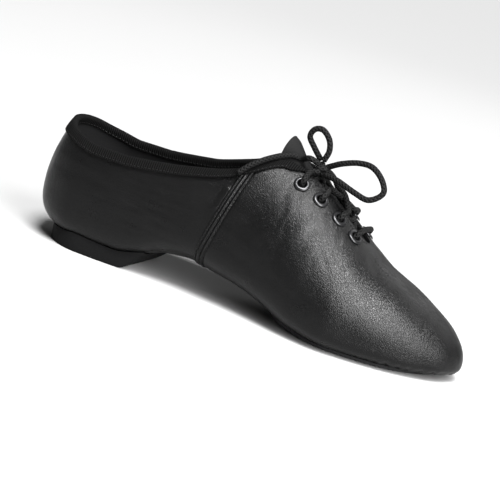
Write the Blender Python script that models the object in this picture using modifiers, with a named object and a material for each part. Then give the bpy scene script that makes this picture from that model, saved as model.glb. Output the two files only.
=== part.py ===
"""A black leather split-sole jazz shoe for the right foot, standing empty on its heel pad and forefoot patch.

Every curved piece is worked out from one surface, the skin of the last, described by ribs. A rib starts on the
shoe's centre line underneath, runs out to the widest level and comes back over the top to the centre line.
At the heel and the toe the ribs fan out. +X points to the toe, +Y to the inner side of the foot, +Z up.
"""

import math

import bmesh
import bpy
from mathutils import Matrix, Vector

MM = 0.001

# Driving sizes of the shoe
LENGTH = 256 * MM
BALL_WIDTH = 80 * MM
LAST_HEIGHT = 96 * MM
TOE_SLOPE = 0.35
WALL = 1.4 * MM
GAP = 0.3 * MM

# One row for each rib from the back of the heel to the tip of the toe. spine and edge are shares of the length,
# centre, outer and inner shares of the ball width, and seat, belly and top shares of the last's height.
# low and high are how square the rib is below and above its widest level. patch_out and patch_in say how far
# the suede patch reaches along the rib, and opening how far the hole behind it does.
COLUMNS = ("spine", "edge", "centre", "outer", "inner", "seat", "belly", "top", "low", "high",
           "patch_out", "patch_in", "opening")
RIBS = [
    (0.141, 0.000, 0.000, 0.000, 0.000, 0.065, 0.350, 1.00, 3.0, 1.70, 0.60, 0.60, 0.00),
    (0.144, 0.034, 0.000, -0.266, 0.266, 0.065, 0.345, 1.00, 3.3, 1.72, 0.60, 0.60, 0.00),
    (0.168, 0.117, 0.000, -0.376, 0.378, 0.065, 0.325, 1.00, 4.2, 1.85, 0.60, 0.60, 0.00),
    (0.242, 0.234, 0.000, -0.384, 0.388, 0.073, 0.315, 1.00, 4.6, 2.00, 0.60, 0.60, 0.00),
    (0.352, 0.352, 0.001, -0.378, 0.389, 0.150, 0.342, 1.00, 2.8, 2.00, 0.60, 0.60, 0.00),
    (0.430, 0.430, 0.003, -0.374, 0.394, 0.163, 0.350, 0.98, 2.5, 1.95, 0.60, 0.60, 0.00),
    (0.508, 0.508, 0.006, -0.386, 0.414, 0.140, 0.325, 0.94, 2.7, 1.90, 0.60, 0.60, 0.00),
    (0.598, 0.598, 0.011, -0.422, 0.464, 0.083, 0.265, 0.865, 3.0, 1.85, 0.60, 0.60, 0.00),
    (0.672, 0.672, 0.016, -0.464, 0.499, 0.034, 0.205, 0.735, 3.5, 1.85, 0.70, 0.74, 0.58),
    (0.742, 0.742, 0.022, -0.479, 0.519, 0.0185, 0.170, 0.594, 4.0, 1.90, 0.77, 0.85, 0.62),
    (0.805, 0.814, 0.032, -0.430, 0.510, 0.0185, 0.150, 0.480, 4.0, 2.00, 0.79, 0.87, 0.62),
    (0.848, 0.883, 0.044, -0.354, 0.456, 0.0190, 0.130, 0.430, 3.6, 2.15, 0.78, 0.82, 0.58),
    (0.870, 0.944, 0.053, -0.240, 0.356, 0.0205, 0.111, 0.397, 3.2, 2.25, 0.68, 0.70, 0.46),
    (0.880, 0.991, 0.057, -0.092, 0.226, 0.0215, 0.099, 0.386, 3.0, 2.30, 0.60, 0.60, 0.36),
    (0.883, 1.008, 0.058, 0.0625, 0.0625, 0.0215, 0.095, 0.384, 3.0, 2.30, 0.58, 0.58, 0.33),
]

# Height of the collar's edge above the floor at each distance along the foot, and how much higher it is on the
# inner side around its highest stretch
COLLAR = [(0, 69.0), (14, 64.4), (34, 60.4), (60, 61.0), (85, 65.2), (102, 70.5), (114, 76.0), (122, 81.0),
          (130, 83.7), (138, 84.7), (147, 83.4)]
COLLAR_INNER_RISE = 3.5 * MM
COLLAR_INNER_X = 112 * MM
COLLAR_INNER_REACH = 28 * MM
CORNER_X = 147 * MM
CORNER_BLEND = 18 * MM
THROAT_X = 192 * MM
THROAT_ROUND = 5 * MM
GAP_HALF_TOP = 7.8 * MM
GAP_HALF_END = 3.8 * MM

# The lapped seam between quarter and vamp: where it crosses the last's middle height, how it leans and its step
SEAM_X = 113 * MM
SEAM_LEAN = 0.25
SEAM_REACH = 34 * MM
SEAM_MIDDLE = 40 * MM
SEAM_STEP = 0.6 * MM
SEAM_RAMP = 0.5 * MM

# The hole in the upper's underside behind the suede patch
HOLE_X = 163 * MM
HOLE_ROUND = 13 * MM
PATCH_X = 153 * MM
PATCH_THICK = 1.5 * MM
PATCH_ROUND = 14 * MM
PATCH_BACK_X = 172 * MM
PATCH_BACK_SHARE = 0.70

HEEL_HALF = 26.8 * MM
HEEL_COLUMNS = 7
HEEL_BACK = 12 * MM
HEEL_FLAT_X = 66.5 * MM
HEEL_BREAST_X = 78 * MM
HEEL_NARROWING = 0.16
HEEL_TAPER = 0.985
HEEL_LIP = 1.2 * MM

INSOLE_THICK = 2.0 * MM
INSOLE_GAP = 0.6 * MM
INSOLE_SHARE = 0.79

TONGUE_THICK = 1.6 * MM
TONGUE_TOP_X = 131 * MM
TONGUE_END_X = 199 * MM
TONGUE_RISE = 9.6 * MM
TONGUE_RISE_X = 164 * MM
TONGUE_FREE = 11.5 * MM
TONGUE_FREE_BACK = 14 * MM
TONGUE_LEAN = 0.7
TONGUE_HALF_TOP = 20 * MM
TONGUE_HALF_END = 13 * MM

TAPE_THICK = 0.8 * MM
TAPE_GAP = 0.45 * MM
TAPE_OUTSIDE = 4.6 * MM
TAPE_INSIDE = 4.0 * MM
TAPE_BACK_EXTRA = 3.4 * MM

STRIP_HALF_TOP = 2.6 * MM
STRIP_HALF_END = 1.0 * MM
STRIP_TOP_Z = 55.5 * MM
STRIP_END_Z = 25 * MM
STRIP_THICK = 0.9 * MM

EYELET_X = (152.2 * MM, 164 * MM, 176 * MM, 186.4 * MM)
EYELET_OUT = (15 * MM, 13.9 * MM, 11.9 * MM, 10.2 * MM)
EYELET_HOLE = 3.2 * MM
EYELET_SIDES = 12
# Profile of an eyelet, as radius and height above the leather, in millimetres
EYELET_PROFILE = [(2.35, 0.70), (2.90, 1.20), (4.10, 1.00), (4.45, 0.35), (2.85, 0.35), (2.85, -1.90),
                  (2.35, -1.90)]

CORD_RADIUS = 1.6 * MM
CORD_STEP = 2.6 * 2 * CORD_RADIUS
BAR_STEP = 1.6 * 2 * CORD_RADIUS
BAR_OVER_EYELET = CORD_RADIUS + 2.1 * MM
BAR_OVER_LEATHER = CORD_RADIUS + 0.6 * MM

LEATHER = (0.018, 0.018, 0.019)
SIDES = {"outer": -1, "inner": 1}

UPPER_COLUMNS = 13
STATIONS_PLAIN = (0.0, 0.022, 0.045, 0.07, 0.095, 0.122, 0.15, 0.185, 0.22, 0.26, 0.30)


def smooth(values, t, end_slope=0.0):
    """Value at t from 0 to 1 along evenly spaced values, with no overshoot between them."""
    last = len(values) - 1
    place = min(max(t, 0.0), 1.0) * last
    i = min(int(place), last - 1)
    s = place - i

    def slope(k):
        if k == 0 or k == last:
            return end_slope * (values[min(k + 1, last)] - values[max(k - 1, 0)])
        before, after = values[k] - values[k - 1], values[k + 1] - values[k]
        return 0.0 if before * after <= 0 else 2 * before * after / (before + after)

    a, b = values[i], values[i + 1]
    m, n = slope(i), slope(i + 1)
    return (a * (1 + 2 * s) + m * s) * (1 - s) ** 2 + (b * (3 - 2 * s) - n * (1 - s)) * s * s


COLUMN_VALUES = {name: [row[k] for row in RIBS] for k, name in enumerate(COLUMNS)}


def column(name, u):
    """A column's value. The outline crosses the centre line square, so its sides go on there and the rest is level."""
    return smooth(COLUMN_VALUES[name], u, 1.12 if name in SIDES else 0.0)


def ramp(value, start, end):
    """0 before start, 1 after end and a smooth rise between."""
    t = min(max((value - start) / (end - start), 0.0), 1.0)
    return t * t * (3 - 2 * t)


def along(pairs, x):
    """Straight-line value at x in a list of pairs in millimetres."""
    x /= MM
    for (x0, y0), (x1, y1) in zip(pairs, pairs[1:]):
        if x <= x1:
            return (y0 + (y1 - y0) * (x - x0) / (x1 - x0)) * MM
    return pairs[-1][1] * MM


def rib(u, side):
    """The rib's foot on the centre line, its widest point in plan, and its heights."""
    foot = Vector((column("spine", u) * LENGTH, column("centre", u) * BALL_WIDTH, 0))
    edge = Vector((column("edge", u) * LENGTH, column(side, u) * BALL_WIDTH, 0))
    seat, belly, top = (column(name, u) * LAST_HEIGHT for name in ("seat", "belly", "top"))
    return foot, edge, seat, belly, top


def seam_shift(x, z):
    """How far a rib near the lapped seam leans forward at height z."""
    near = max(0.0, 1 - ((x - SEAM_X) / SEAM_REACH) ** 2) ** 2
    return SEAM_LEAN * (z - SEAM_MIDDLE) * near


def bare_skin(u, side, phi):
    """A point of the last: phi is 0 underneath, a quarter turn at the widest level and a half turn on top."""
    foot, edge, seat, belly, top = rib(u, side)
    below = phi < math.pi / 2
    power = 2 / column("low" if below else "high", u)
    reach = abs(math.sin(phi)) ** power
    rise = abs(math.cos(phi)) ** power
    z = belly - (belly - seat) * rise if below else belly + (top - belly) * rise
    point = foot.lerp(edge, reach)
    if not below and point.x > foot.x:
        z -= TOE_SLOPE * (point.x - foot.x) * rise
    return Vector((point.x + seam_shift(foot.x, z), point.y, z))


def slopes_at(u, side, phi):
    """Outward normal and direction of rising phi on one side of the last."""
    du, dphi = 2e-4, 2e-3
    u0, u1 = max(u - du, 0.0), min(u + du, 1.0)
    p0, p1 = max(phi - dphi, 1e-6), min(phi + dphi, math.pi - 1e-6)
    tangent = bare_skin(u1, side, phi) - bare_skin(u0, side, phi)
    rising = (bare_skin(u, side, p1) - bare_skin(u, side, p0)).normalized()
    return (tangent.cross(rising) * -SIDES[side]).normalized(), rising


def frame_at(u, side, phi):
    """Point, outward normal and direction of rising phi. Where the two sides meet they share one normal."""
    normal, rising = slopes_at(u, side, phi)
    if phi < 1e-3 or phi > math.pi - 1e-3:
        run = bare_skin(min(u + 0.01, 1.0), side, phi) - bare_skin(max(u - 0.01, 0.0), side, phi)
        normal = Vector((run.z, 0, -run.x)).normalized() * (1 if phi < 1e-3 else -1)
    elif u < 1e-4 or u > 1 - 1e-4:
        other, _ = slopes_at(u, "inner" if side == "outer" else "outer", phi)
        normal = (normal + other).normalized()
    return bare_skin(u, side, phi), normal, rising


def skin(u, side, phi, out=0.0):
    point, normal, _ = frame_at(u, side, phi)
    return point + normal * out


def phi_at_reach(u, share, below):
    """Where the rib is at that share of its width, under or over its widest level."""
    power = column("low" if below else "high", u) / 2
    angle = math.asin(min(max(share, 0.0), 1.0) ** power)
    return angle if below else math.pi - angle


def phi_at_height(u, z):
    """Where the rib reaches height z above its widest level."""
    _, _, _, belly, top = rib(u, "outer")
    share = min(max((z - belly) / (top - belly), 0.0), 1.0)
    return math.pi - math.acos(share ** (column("high", u) / 2))


def width(u, side):
    foot, edge, *_ = rib(u, side)
    return (edge - foot).length


def station(x, name="spine"):
    """The rib whose spine or edge is at x."""
    low, high = 0.0, 1.0
    for _ in range(40):
        middle = (low + high) / 2
        if column(name, middle) * LENGTH < x:
            low = middle
        else:
            high = middle
    return (low + high) / 2


def throat_half(x):
    """Half the gap between the facings."""
    if x >= THROAT_X:
        return 0.0
    start = THROAT_X - THROAT_ROUND
    share = min(max((x - CORNER_X) / (start - CORNER_X), 0.0), 1.0)
    half = GAP_HALF_TOP + (GAP_HALF_END - GAP_HALF_TOP) * share
    if x > start:
        half *= math.sqrt(max(0.0, 1 - ((x - start) / THROAT_ROUND) ** 2))
    return half


def inner_rise(x, side):
    """How much higher the collar is on the inner side."""
    if side == "outer":
        return 0.0
    return COLLAR_INNER_RISE * max(0.0, 1 - ((x - COLLAR_INNER_X) / COLLAR_INNER_REACH) ** 2) ** 2


def collar_phi(u, side):
    """Where the upper ends at the top: at the collar, at the facing, or at the crest of the vamp."""
    foot, edge, *_ = rib(u, side)
    if foot.x >= THROAT_X:
        return math.pi
    x = edge.x if foot.x < 60 * MM else foot.x
    at_collar = phi_at_height(u, along(COLLAR, x) + inner_rise(x, side))
    at_facing = phi_at_reach(u, throat_half(foot.x) / width(u, side), below=False)
    if foot.x < CORNER_X - CORNER_BLEND:
        return at_collar
    soft = 0.045
    return -soft * math.log(math.exp(-at_collar / soft) + math.exp(-at_facing / soft))


def hole_share(u):
    """How far the hole behind the patch reaches along the rib."""
    x = column("spine", u) * LENGTH
    if x <= HOLE_X:
        return 0.0
    return column("opening", u) * math.sqrt(min(1.0, 1 - (1 - min((x - HOLE_X) / HOLE_ROUND, 1)) ** 2))


def seam_step(u):
    """How far the vamp's leather lies over the quarter's."""
    return SEAM_STEP * ramp(column("spine", u) * LENGTH, SEAM_X - SEAM_RAMP, SEAM_X + SEAM_RAMP)


def closed_solid(name, near, far, skip=None):
    """A solid between two grids of points. Points that coincide are one, and the column skip has no faces."""
    index, vertices, faces = {}, [], []
    grid = []
    for near_row, far_row in zip(near, far):
        line = []
        for a, b in zip(near_row, far_row):
            key = tuple(round(c * 1e7) for c in a)
            if key not in index:
                index[key] = len(vertices)
                vertices.append((a, b))
            line.append(index[key])
        grid.append(line)
    for upper, lower in zip(grid, grid[1:]):
        for k in range(len(upper) - 1):
            if k == skip:
                continue
            corners = [upper[k], upper[k + 1], lower[k + 1], lower[k]]
            ring = [v for i, v in enumerate(corners) if v != corners[i - 1]]
            if len(ring) > 2:
                faces.append(ring)
    uses = {}
    for ring in faces:
        for a, b in zip(ring, ring[1:] + ring[:1]):
            uses.setdefault(frozenset((a, b)), []).append((a, b))
    count = len(vertices)
    every = list(faces) + [[v + count for v in reversed(ring)] for ring in faces]
    for ways in uses.values():
        if len(ways) == 1:
            a, b = ways[0]
            every.append([b, a, a + count, b + count])
    mesh = bpy.data.meshes.new(name)
    mesh.from_pydata([a for a, _ in vertices] + [b for _, b in vertices], [], every)
    work = bmesh.new()
    work.from_mesh(mesh)
    bmesh.ops.recalc_face_normals(work, faces=work.faces)
    work.to_mesh(mesh)
    work.free()
    return add_part(name, mesh)


def material(name, colour, roughness, metallic=0.0):
    made = bpy.data.materials.new(name)
    made.use_nodes = True
    shader = made.node_tree.nodes["Principled BSDF"]
    shader.inputs["Base Color"].default_value = (*colour, 1)
    shader.inputs["Roughness"].default_value = roughness
    shader.inputs["Metallic"].default_value = metallic
    return made


def add_part(name, data):
    made = bpy.data.objects.new(name, data)
    shoe.objects.link(made)
    made.parent = root
    if data.materials:
        return made
    data.materials.append(finishes[name.split(".")[0]])
    return made


def spread(start, end, count):
    return [start + (end - start) * k / count for k in range(count + 1)]


def upper_stations():
    """Ribs of the upper, closer together at the heel, the seam, the throat's end and the toe."""
    xs = [52, 62, 72, 82, 92, 101, SEAM_X / MM - 0.5, SEAM_X / MM + 0.5, 120, 126, 131, 134.5, 138.5, 142.5, 147,
          152, 158, 163.2, 165, 169, 175, 181]
    xs += [THROAT_X / MM - short for short in (5, 2.5, 0.8, 0)] + [197, 202.5, 208]
    heel = list(STATIONS_PLAIN)
    middle = [u for u in (station(x * MM) for x in xs) if u > heel[-1] * 0.6]
    heel = [u for u in heel if u < middle[0] - 0.012]
    toe = spread(station(213 * MM), 1.0, 11)
    return heel + middle + toe


def upper_phis(u, side):
    """The upper's points along a rib, from its lower edge or the centre underneath up to its top edge."""
    return spread(phi_at_reach(u, hole_share(u), below=True), collar_phi(u, side), UPPER_COLUMNS)


def phis_to(u, side, last):
    """The upper's own points along a rib as far as the last one, so that two skins keep their gap."""
    count = HEEL_COLUMNS
    bunched = 0.012
    phis = upper_phis(u, side)[:count]
    return [min(phi, last - bunched * (count - k)) for k, phi in enumerate(phis)] + [last]


def make_upper():
    count = UPPER_COLUMNS
    near, far = [], []
    for u in upper_stations():
        step = seam_step(u)
        near_row, far_row = [], []
        for side in SIDES:
            phis = upper_phis(u, side)
            if side == "outer":
                phis.reverse()
            near_row += [skin(u, side, phi, step) for phi in phis]
            far_row += [skin(u, side, phi, step - WALL) for phi in phis]
        near.append(near_row)
        far.append(far_row)
    made = closed_solid("upper", near, far, skip=count)
    for side in SIDES:
        for x, out in zip(EYELET_X, EYELET_OUT):
            place, normal = eyelet_place(x, out, side)
            drill(made, place, normal)
    return made


def eyelet_place(x, out, side):
    u = station(x)
    phi = phi_at_reach(u, out / width(u, side), below=False)
    point, normal, _ = frame_at(u, side, phi)
    return point + normal * seam_step(u), normal


def facing(direction):
    return direction.to_track_quat("Z", "Y").to_matrix().to_4x4()


def drill(target, place, normal):
    """Cuts one eyelet's hole."""
    work = bmesh.new()
    bmesh.ops.create_cone(work, cap_ends=True, segments=EYELET_SIDES, radius1=EYELET_HOLE, radius2=EYELET_HOLE,
                          depth=12 * MM)
    mesh = bpy.data.meshes.new("hole")
    work.to_mesh(mesh)
    work.free()
    cutter = bpy.data.objects.new("hole", mesh)
    cutter.matrix_world = Matrix.Translation(place) @ facing(normal)
    cutter.hide_render = True
    cutter.display_type = "WIRE"
    cutter.parent = root
    cutters.objects.link(cutter)
    cut = target.modifiers.new("hole", "BOOLEAN")
    cut.operation = "DIFFERENCE"
    cut.object = cutter


def make_eyelets():
    profile = bpy.data.meshes.new("eyelet")
    count = len(EYELET_PROFILE)
    profile.from_pydata([(r * MM, 0, z * MM) for r, z in EYELET_PROFILE],
                        [(k, (k + 1) % count) for k in range(count)], [])
    profile.materials.append(finishes["eyelet"])
    for side in SIDES:
        for number, (x, out) in enumerate(zip(EYELET_X, EYELET_OUT), 1):
            place, normal = eyelet_place(x, out, side)
            made = add_part(f"eyelet_{side}_{number}", profile)
            made.matrix_world = Matrix.Translation(place) @ facing(normal)
            screw = made.modifiers.new("turn", "SCREW")
            screw.steps = EYELET_SIDES
            screw.render_steps = EYELET_SIDES
            screw.use_merge_vertices = True
            screw.merge_threshold = 0.00001


def make_patch():
    """The suede patch under the forefoot, flat where it stands."""
    count = 7
    xs = [PATCH_X + s * MM for s in (0.3, 1.5, 4, 7.5, 12)]
    us = [station(x) for x in xs] + spread(station(PATCH_BACK_X), station(213 * MM), 6) + spread(
        station(213 * MM), 1.0, 9)[1:]
    near, far = [], []
    for u in us:
        x = column("spine", u) * LENGTH
        back = math.sqrt(max(0.0, 1 - (1 - min((x - PATCH_X) / PATCH_ROUND, 1)) ** 2))
        near_row, far_row = [], []
        for side, name in (("outer", "patch_out"), ("inner", "patch_in")):
            reach = max(column(name, u), PATCH_BACK_SHARE if u < station(PATCH_BACK_X) else 0) * back
            shares = spread(0.0, reach, count)
            if side == "outer":
                shares.reverse()
            else:
                shares = shares[1:]
            for share in shares:
                phi = phi_at_reach(u, share, below=True)
                near_row.append(skin(u, side, phi, SEAM_STEP + GAP))
                low = skin(u, side, phi, SEAM_STEP + GAP + PATCH_THICK)
                low.z = max(low.z, 0.0)
                far_row.append(low)
        near.append(near_row)
        far.append(far_row)
    return closed_solid("forefoot_sole", near, far)


def make_heel():
    """The heel pad: its top follows the upper, its front slopes back up to the arch."""
    centre = HEEL_BACK + HEEL_HALF
    us = [u for u in upper_stations() if column("spine", u) * LENGTH < HEEL_BREAST_X - 2 * MM]
    us += [station(HEEL_BREAST_X)]
    near, far = [], []
    for u in us:
        near_row, far_row = [], []
        for side in SIDES:
            foot, edge, *_ = rib(u, side)
            phis = phis_to(u, side, phi_at_reach(u, heel_reach(foot, edge, centre), below=True))
            if side == "outer":
                phis.reverse()
            else:
                phis = phis[1:]
            for phi in phis:
                top = skin(u, side, phi, GAP)
                slope = ramp_line(top.x, HEEL_FLAT_X, HEEL_BREAST_X)
                inset = foot + (Vector((top.x, top.y, 0)) - foot) * HEEL_TAPER
                near_row.append(top)
                far_row.append(Vector((inset.x, inset.y, slope * (top.z - HEEL_LIP))))
        near.append(near_row)
        far.append(far_row)
    return closed_solid("heel", near, far)


def ramp_line(value, start, end):
    return min(max((value - start) / (end - start), 0.0), 1.0)


def heel_reach(foot, edge, centre):
    """Share of the rib that the heel pad's outline reaches."""
    low, high = 0.0, 1.0
    for _ in range(30):
        middle = (low + high) / 2
        point = foot.lerp(edge, middle)
        if point.x < centre:
            inside = math.hypot(point.x - centre, point.y) < HEEL_HALF
        else:
            narrow = HEEL_NARROWING * ((point.x - centre) / (HEEL_BREAST_X - centre)) ** 2
            inside = abs(point.y) < HEEL_HALF * (1 - narrow)
        if inside:
            low = middle
        else:
            high = middle
    return low


def make_insole():
    count = 5
    us = [0.0, 0.04, 0.085, 0.13, 0.18, 0.23] + spread(station(62 * MM), station(205 * MM), 12) + spread(
        station(205 * MM), 1.0, 5)[1:]
    near, far = [], []
    for u in us:
        near_row, far_row = [], []
        for side in SIDES:
            shares = spread(0.0, INSOLE_SHARE, count)
            if side == "outer":
                shares.reverse()
            else:
                shares = shares[1:]
            for share in shares:
                low = skin(u, side, phi_at_reach(u, share, below=True), -WALL - INSOLE_GAP)
                near_row.append(low)
                far_row.append(low + Vector((0, 0, INSOLE_THICK)))
        near.append(near_row)
        far.append(far_row)
    return closed_solid("insole", near, far)


def leaning_station(x, out, side):
    """The rib under a point that far out from the tongue's middle, with the tongue's rows square to its slope."""
    crest_z = bare_skin(station(x), side, math.pi).z
    u = station(x)
    for _ in range(3):
        phi = phi_at_reach(u, out / width(u, side), below=False)
        drop = crest_z - bare_skin(u, side, phi).z
        lean = TONGUE_LEAN * (1 - ramp(x, TONGUE_TOP_X, TONGUE_END_X))
        u = station(x - lean * max(drop, 0.0))
    return u


def make_tongue():
    """The tongue lies under the facings and stands up above the collar."""
    count = 6
    near, far = [], []
    for x in spread(TONGUE_TOP_X, TONGUE_END_X, 12):
        u = station(x)
        lift = TONGUE_RISE * (1 - ramp_line(x, TONGUE_TOP_X, TONGUE_RISE_X)) ** 1.5
        share = ramp_line(x, TONGUE_TOP_X, TONGUE_END_X)
        tape = (TAPE_THICK + TAPE_GAP + GAP) * (1 - ramp(x, CORNER_X + 1 * MM, CORNER_X + 9 * MM))
        half = TONGUE_HALF_TOP + (TONGUE_HALF_END - TONGUE_HALF_TOP) * share
        half *= 1 - 0.25 * (1 - ramp_line(x, TONGUE_TOP_X, TONGUE_TOP_X + 6 * MM)) ** 2
        between = throat_half(x) - GAP
        free_half = between + (TONGUE_FREE - between) * (1 - ramp(x, CORNER_X - TONGUE_FREE_BACK, CORNER_X))
        near_row, far_row = [], []
        for side in SIDES:
            reach = spread(0.0, half / width(u, side), count)
            if side == "outer":
                reach.reverse()
            else:
                reach = reach[1:]
            for part in reach:
                spot = leaning_station(x, part * width(u, side), side)
                phi = phi_at_reach(spot, part * width(u, side) / width(spot, side), below=False)
                free = max(0.0, 1 - (part * width(u, side) / free_half) ** 2) ** 0.7
                rise = Vector((0, 0, lift * free))
                inside = seam_step(spot) - WALL - 2 * GAP - tape
                near_row.append(skin(spot, side, phi, inside) + rise)
                far_row.append(skin(spot, side, phi, inside - TONGUE_THICK) + rise)
        near.append(near_row)
        far.append(far_row)
    return closed_solid("tongue", near, far)


def edge_point(u, side, out, down):
    """A point near the upper's top edge: out from the leather and down from the edge, or up past it."""
    phi = collar_phi(u, side)
    step = seam_step(u)
    a, b = bare_skin(u, side, phi), bare_skin(u, side, phi - 0.01)
    per_phi = (a - b).length / 0.01
    if down >= 0:
        return skin(u, side, phi - down / per_phi, out + step)
    point, normal, rising = frame_at(u, side, phi)
    return point + normal * (out + step) - rising * down


def make_binding():
    """The ribbed tape folded over the collar's edge, from facing to facing round the heel."""
    us = [u for u in upper_stations() if column("spine", u) * LENGTH < CORNER_X]
    path = [(u, "outer") for u in reversed(us[1:])] + [(u, "inner") for u in us]
    thick = TAPE_GAP + TAPE_THICK
    near, far = [], []
    for u, side in path:
        deep = TAPE_OUTSIDE + TAPE_BACK_EXTRA * math.exp(-((u / 0.07) ** 2))
        outline = [(thick, deep), (thick + 0.15 * MM, deep / 2), (thick, 0.2 * MM), (0.2 * MM, -thick),
                   (-WALL - 0.2 * MM, -thick), (-WALL - thick, 0.2 * MM), (-WALL - thick, TAPE_INSIDE)]
        lining = [(TAPE_GAP, deep), (TAPE_GAP, deep / 2), (TAPE_GAP, 0.2 * MM), (0.1 * MM, -TAPE_GAP),
                  (-WALL - 0.1 * MM, -TAPE_GAP), (-WALL - TAPE_GAP, 0.2 * MM), (-WALL - TAPE_GAP, TAPE_INSIDE)]
        near.append([edge_point(u, side, *place) for place in outline])
        far.append([edge_point(u, side, *place) for place in lining])
    return closed_solid("collar_binding", near, far)


def make_back_strip():
    """The narrow strip over the back seam, below the binding."""
    near, far = [], []
    per_u = (bare_skin(0.012, "inner", math.pi / 2) - bare_skin(0, "inner", math.pi / 2)).length / 0.012
    for z in spread(STRIP_TOP_Z, STRIP_END_Z, 6):
        share = (STRIP_TOP_Z - z) / (STRIP_TOP_Z - STRIP_END_Z)
        half = STRIP_HALF_TOP + (STRIP_HALF_END - STRIP_HALF_TOP) * share
        near_row, far_row = [], []
        for side, part in (("outer", 1), ("outer", 0.5), ("inner", 0), ("inner", 0.5), ("inner", 1)):
            u = half * part / per_u
            phi = phi_at_height(u, z) if z > 33.2 * MM else phi_below(u, z)
            near_row.append(skin(u, side, phi, GAP + STRIP_THICK * (1 - 0.45 * share)))
            far_row.append(skin(u, side, phi, GAP))
        near.append(near_row)
        far.append(far_row)
    return closed_solid("back_strip", near, far)


def phi_below(u, z):
    """Where the rib is at height z under its widest level."""
    _, _, seat, belly, _ = rib(u, "outer")
    share = min(max((belly - z) / (belly - seat), 0.0), 1.0)
    return math.acos(share ** (column("low", u) / 2))


def flowing(points, step):
    """Evenly spaced points on a smooth curve through the given ones."""
    ends = [points[0] * 2 - points[1]] + points + [points[-1] * 2 - points[-2]]
    fine = []
    for a, b, c, d in zip(ends, ends[1:], ends[2:], ends[3:]):
        for k in range(16):
            t = k / 16
            fine.append(0.5 * (2 * b + (c - a) * t + (2 * a - 5 * b + 4 * c - d) * t * t
                               + (3 * b - a - 3 * c + d) * t ** 3))
    fine.append(points[-1])
    lengths = [0.0]
    for a, b in zip(fine, fine[1:]):
        lengths.append(lengths[-1] + (b - a).length)
    count = max(2, round(lengths[-1] / step))
    spaced, k = [], 0
    for n in range(count + 1):
        goal = lengths[-1] * n / count
        while k < len(lengths) - 2 and lengths[k + 1] < goal:
            k += 1
        spaced.append(fine[k].lerp(fine[k + 1], (goal - lengths[k]) / (lengths[k + 1] - lengths[k])))
    return spaced


def cord(name, points, step=CORD_STEP):
    """A round cord along a smooth curve."""
    curve = bpy.data.curves.new(name, "CURVE")
    curve.dimensions = "3D"
    curve.bevel_depth = CORD_RADIUS
    curve.bevel_resolution = 2
    curve.use_fill_caps = True
    spline = curve.splines.new("POLY")
    line = flowing(points, step)
    spline.points.add(len(line) - 1)
    for spot, point in zip(spline.points, line):
        spot.co = (*point, 1)
    return add_part(name, curve)


def as_mesh(thing):
    """The same piece as a mesh with its caps welded on."""
    bpy.context.view_layer.update()
    mesh = bpy.data.meshes.new_from_object(thing.evaluated_get(bpy.context.evaluated_depsgraph_get()))
    work = bmesh.new()
    work.from_mesh(mesh)
    bmesh.ops.remove_doubles(work, verts=work.verts, dist=0.00001)
    work.to_mesh(mesh)
    work.free()
    name = thing.name
    bpy.data.objects.remove(thing)
    made = bpy.data.objects.new(name, mesh)
    made.parent = root
    return made


def over(row, side, out, height):
    """A point above the leather beside an eyelet: out from the eyelet's own place along the rib, and up."""
    u = station(EYELET_X[row])
    reach = (EYELET_OUT[row] + out) / width(u, side)
    phi = phi_at_reach(u, reach, below=False)
    return skin(u, side, phi, seam_step(u) + height)


def crest(x, height):
    return skin(station(x), "inner", math.pi, SEAM_STEP + height)


def make_lace_bar():
    """The lowest bar, straight across the throat."""
    low, high = BAR_OVER_EYELET, BAR_OVER_LEATHER
    points = [over(3, "outer", -1 * MM, low), over(3, "outer", -7 * MM, high), crest(EYELET_X[3], high),
              over(3, "inner", -7 * MM, high), over(3, "inner", -1 * MM, low)]
    return cord("lace_bar", points, BAR_STEP)


def make_lace_cross():
    """The two lengths that cross over the facings between the second and third eyelets, joined where they meet."""
    low, high = BAR_OVER_EYELET, BAR_OVER_LEATHER
    middle = (EYELET_X[1] + EYELET_X[2]) / 2
    strands = []
    for near, away in (("outer", "inner"), ("inner", "outer")):
        points = [over(2, near, -1 * MM, low), over(2, near, -7 * MM, high), crest(middle, high + 0.4 * MM),
                  over(1, away, -7 * MM, high), over(1, away, -1 * MM, low)]
        strands.append(as_mesh(cord("lace_cross", points, BAR_STEP)))
    whole, other = strands
    shoe.objects.link(whole)
    whole.name = "lace_cross"
    other.hide_render = True
    other.display_type = "WIRE"
    cutters.objects.link(other)
    union = whole.modifiers.new("join", "BOOLEAN")
    union.operation = "UNION"
    union.object = other
    return whole


# Hand-chosen places of the knot, the loops and the ends, in millimetres from the back of the heel. Those on the
# collar are each a rib's place, then out from the leather and down from the collar's edge
KNOT = [(158.6, -4.4, 82.9), (157.9, -3.7, 85.9), (155.8, -1, 88.2), (154.8, 1.8, 86.4), (154.6, 3.2, 83.8)]
SMALL_LOOP = [(156.3, -2.1, 90.4), (157.9, -2.6, 96.3), (156.4, -3.2, 102.1), (151.8, -3.6, 106.1),
              (147.2, -3.4, 105.1), (145.3, -2.6, 100.4), (148.9, -0.6, 95), (154, 0.6, 89.5)]
LARGE_LOOP = [(159.6, -3, 87.9), (167.5, -6, 92.6), (177, -7.5, 96.2), (185.5, -9.2, 96.6), (192.8, -11, 92),
              (195.5, -12, 85.8), (189.3, -13, 80.4), (180.5, -12, 81.4), (169.5, -9.6, 83.9), (160.5, -5.6, 84)]
INNER_END = [(156.6, 5, 84.9), (158.3, 10.5, 82.6), (160, 16.5, 78.6), (162, 21.8, 72.3), (164.5, 27, 66)]
OUTER_END = [(155.4, -5.4, 88.4), (150.6, -7.8, 90.2)]
OUTER_END_ON_COLLAR = [(144, 1, -6), (137, 1, -5), (130, 1.4, -4.1), (124, 2.3, -3.1), (119, 3.1, -1.9),
                       (115, 3.6, 0.2), (112, 3.6, 3.4)]
RISE_TOP = {"outer": (157.4, -6.5, 84.7), "inner": (153.3, 5.5, 84.9)}


def places(rows):
    return [Vector(row) * MM for row in rows]


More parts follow.
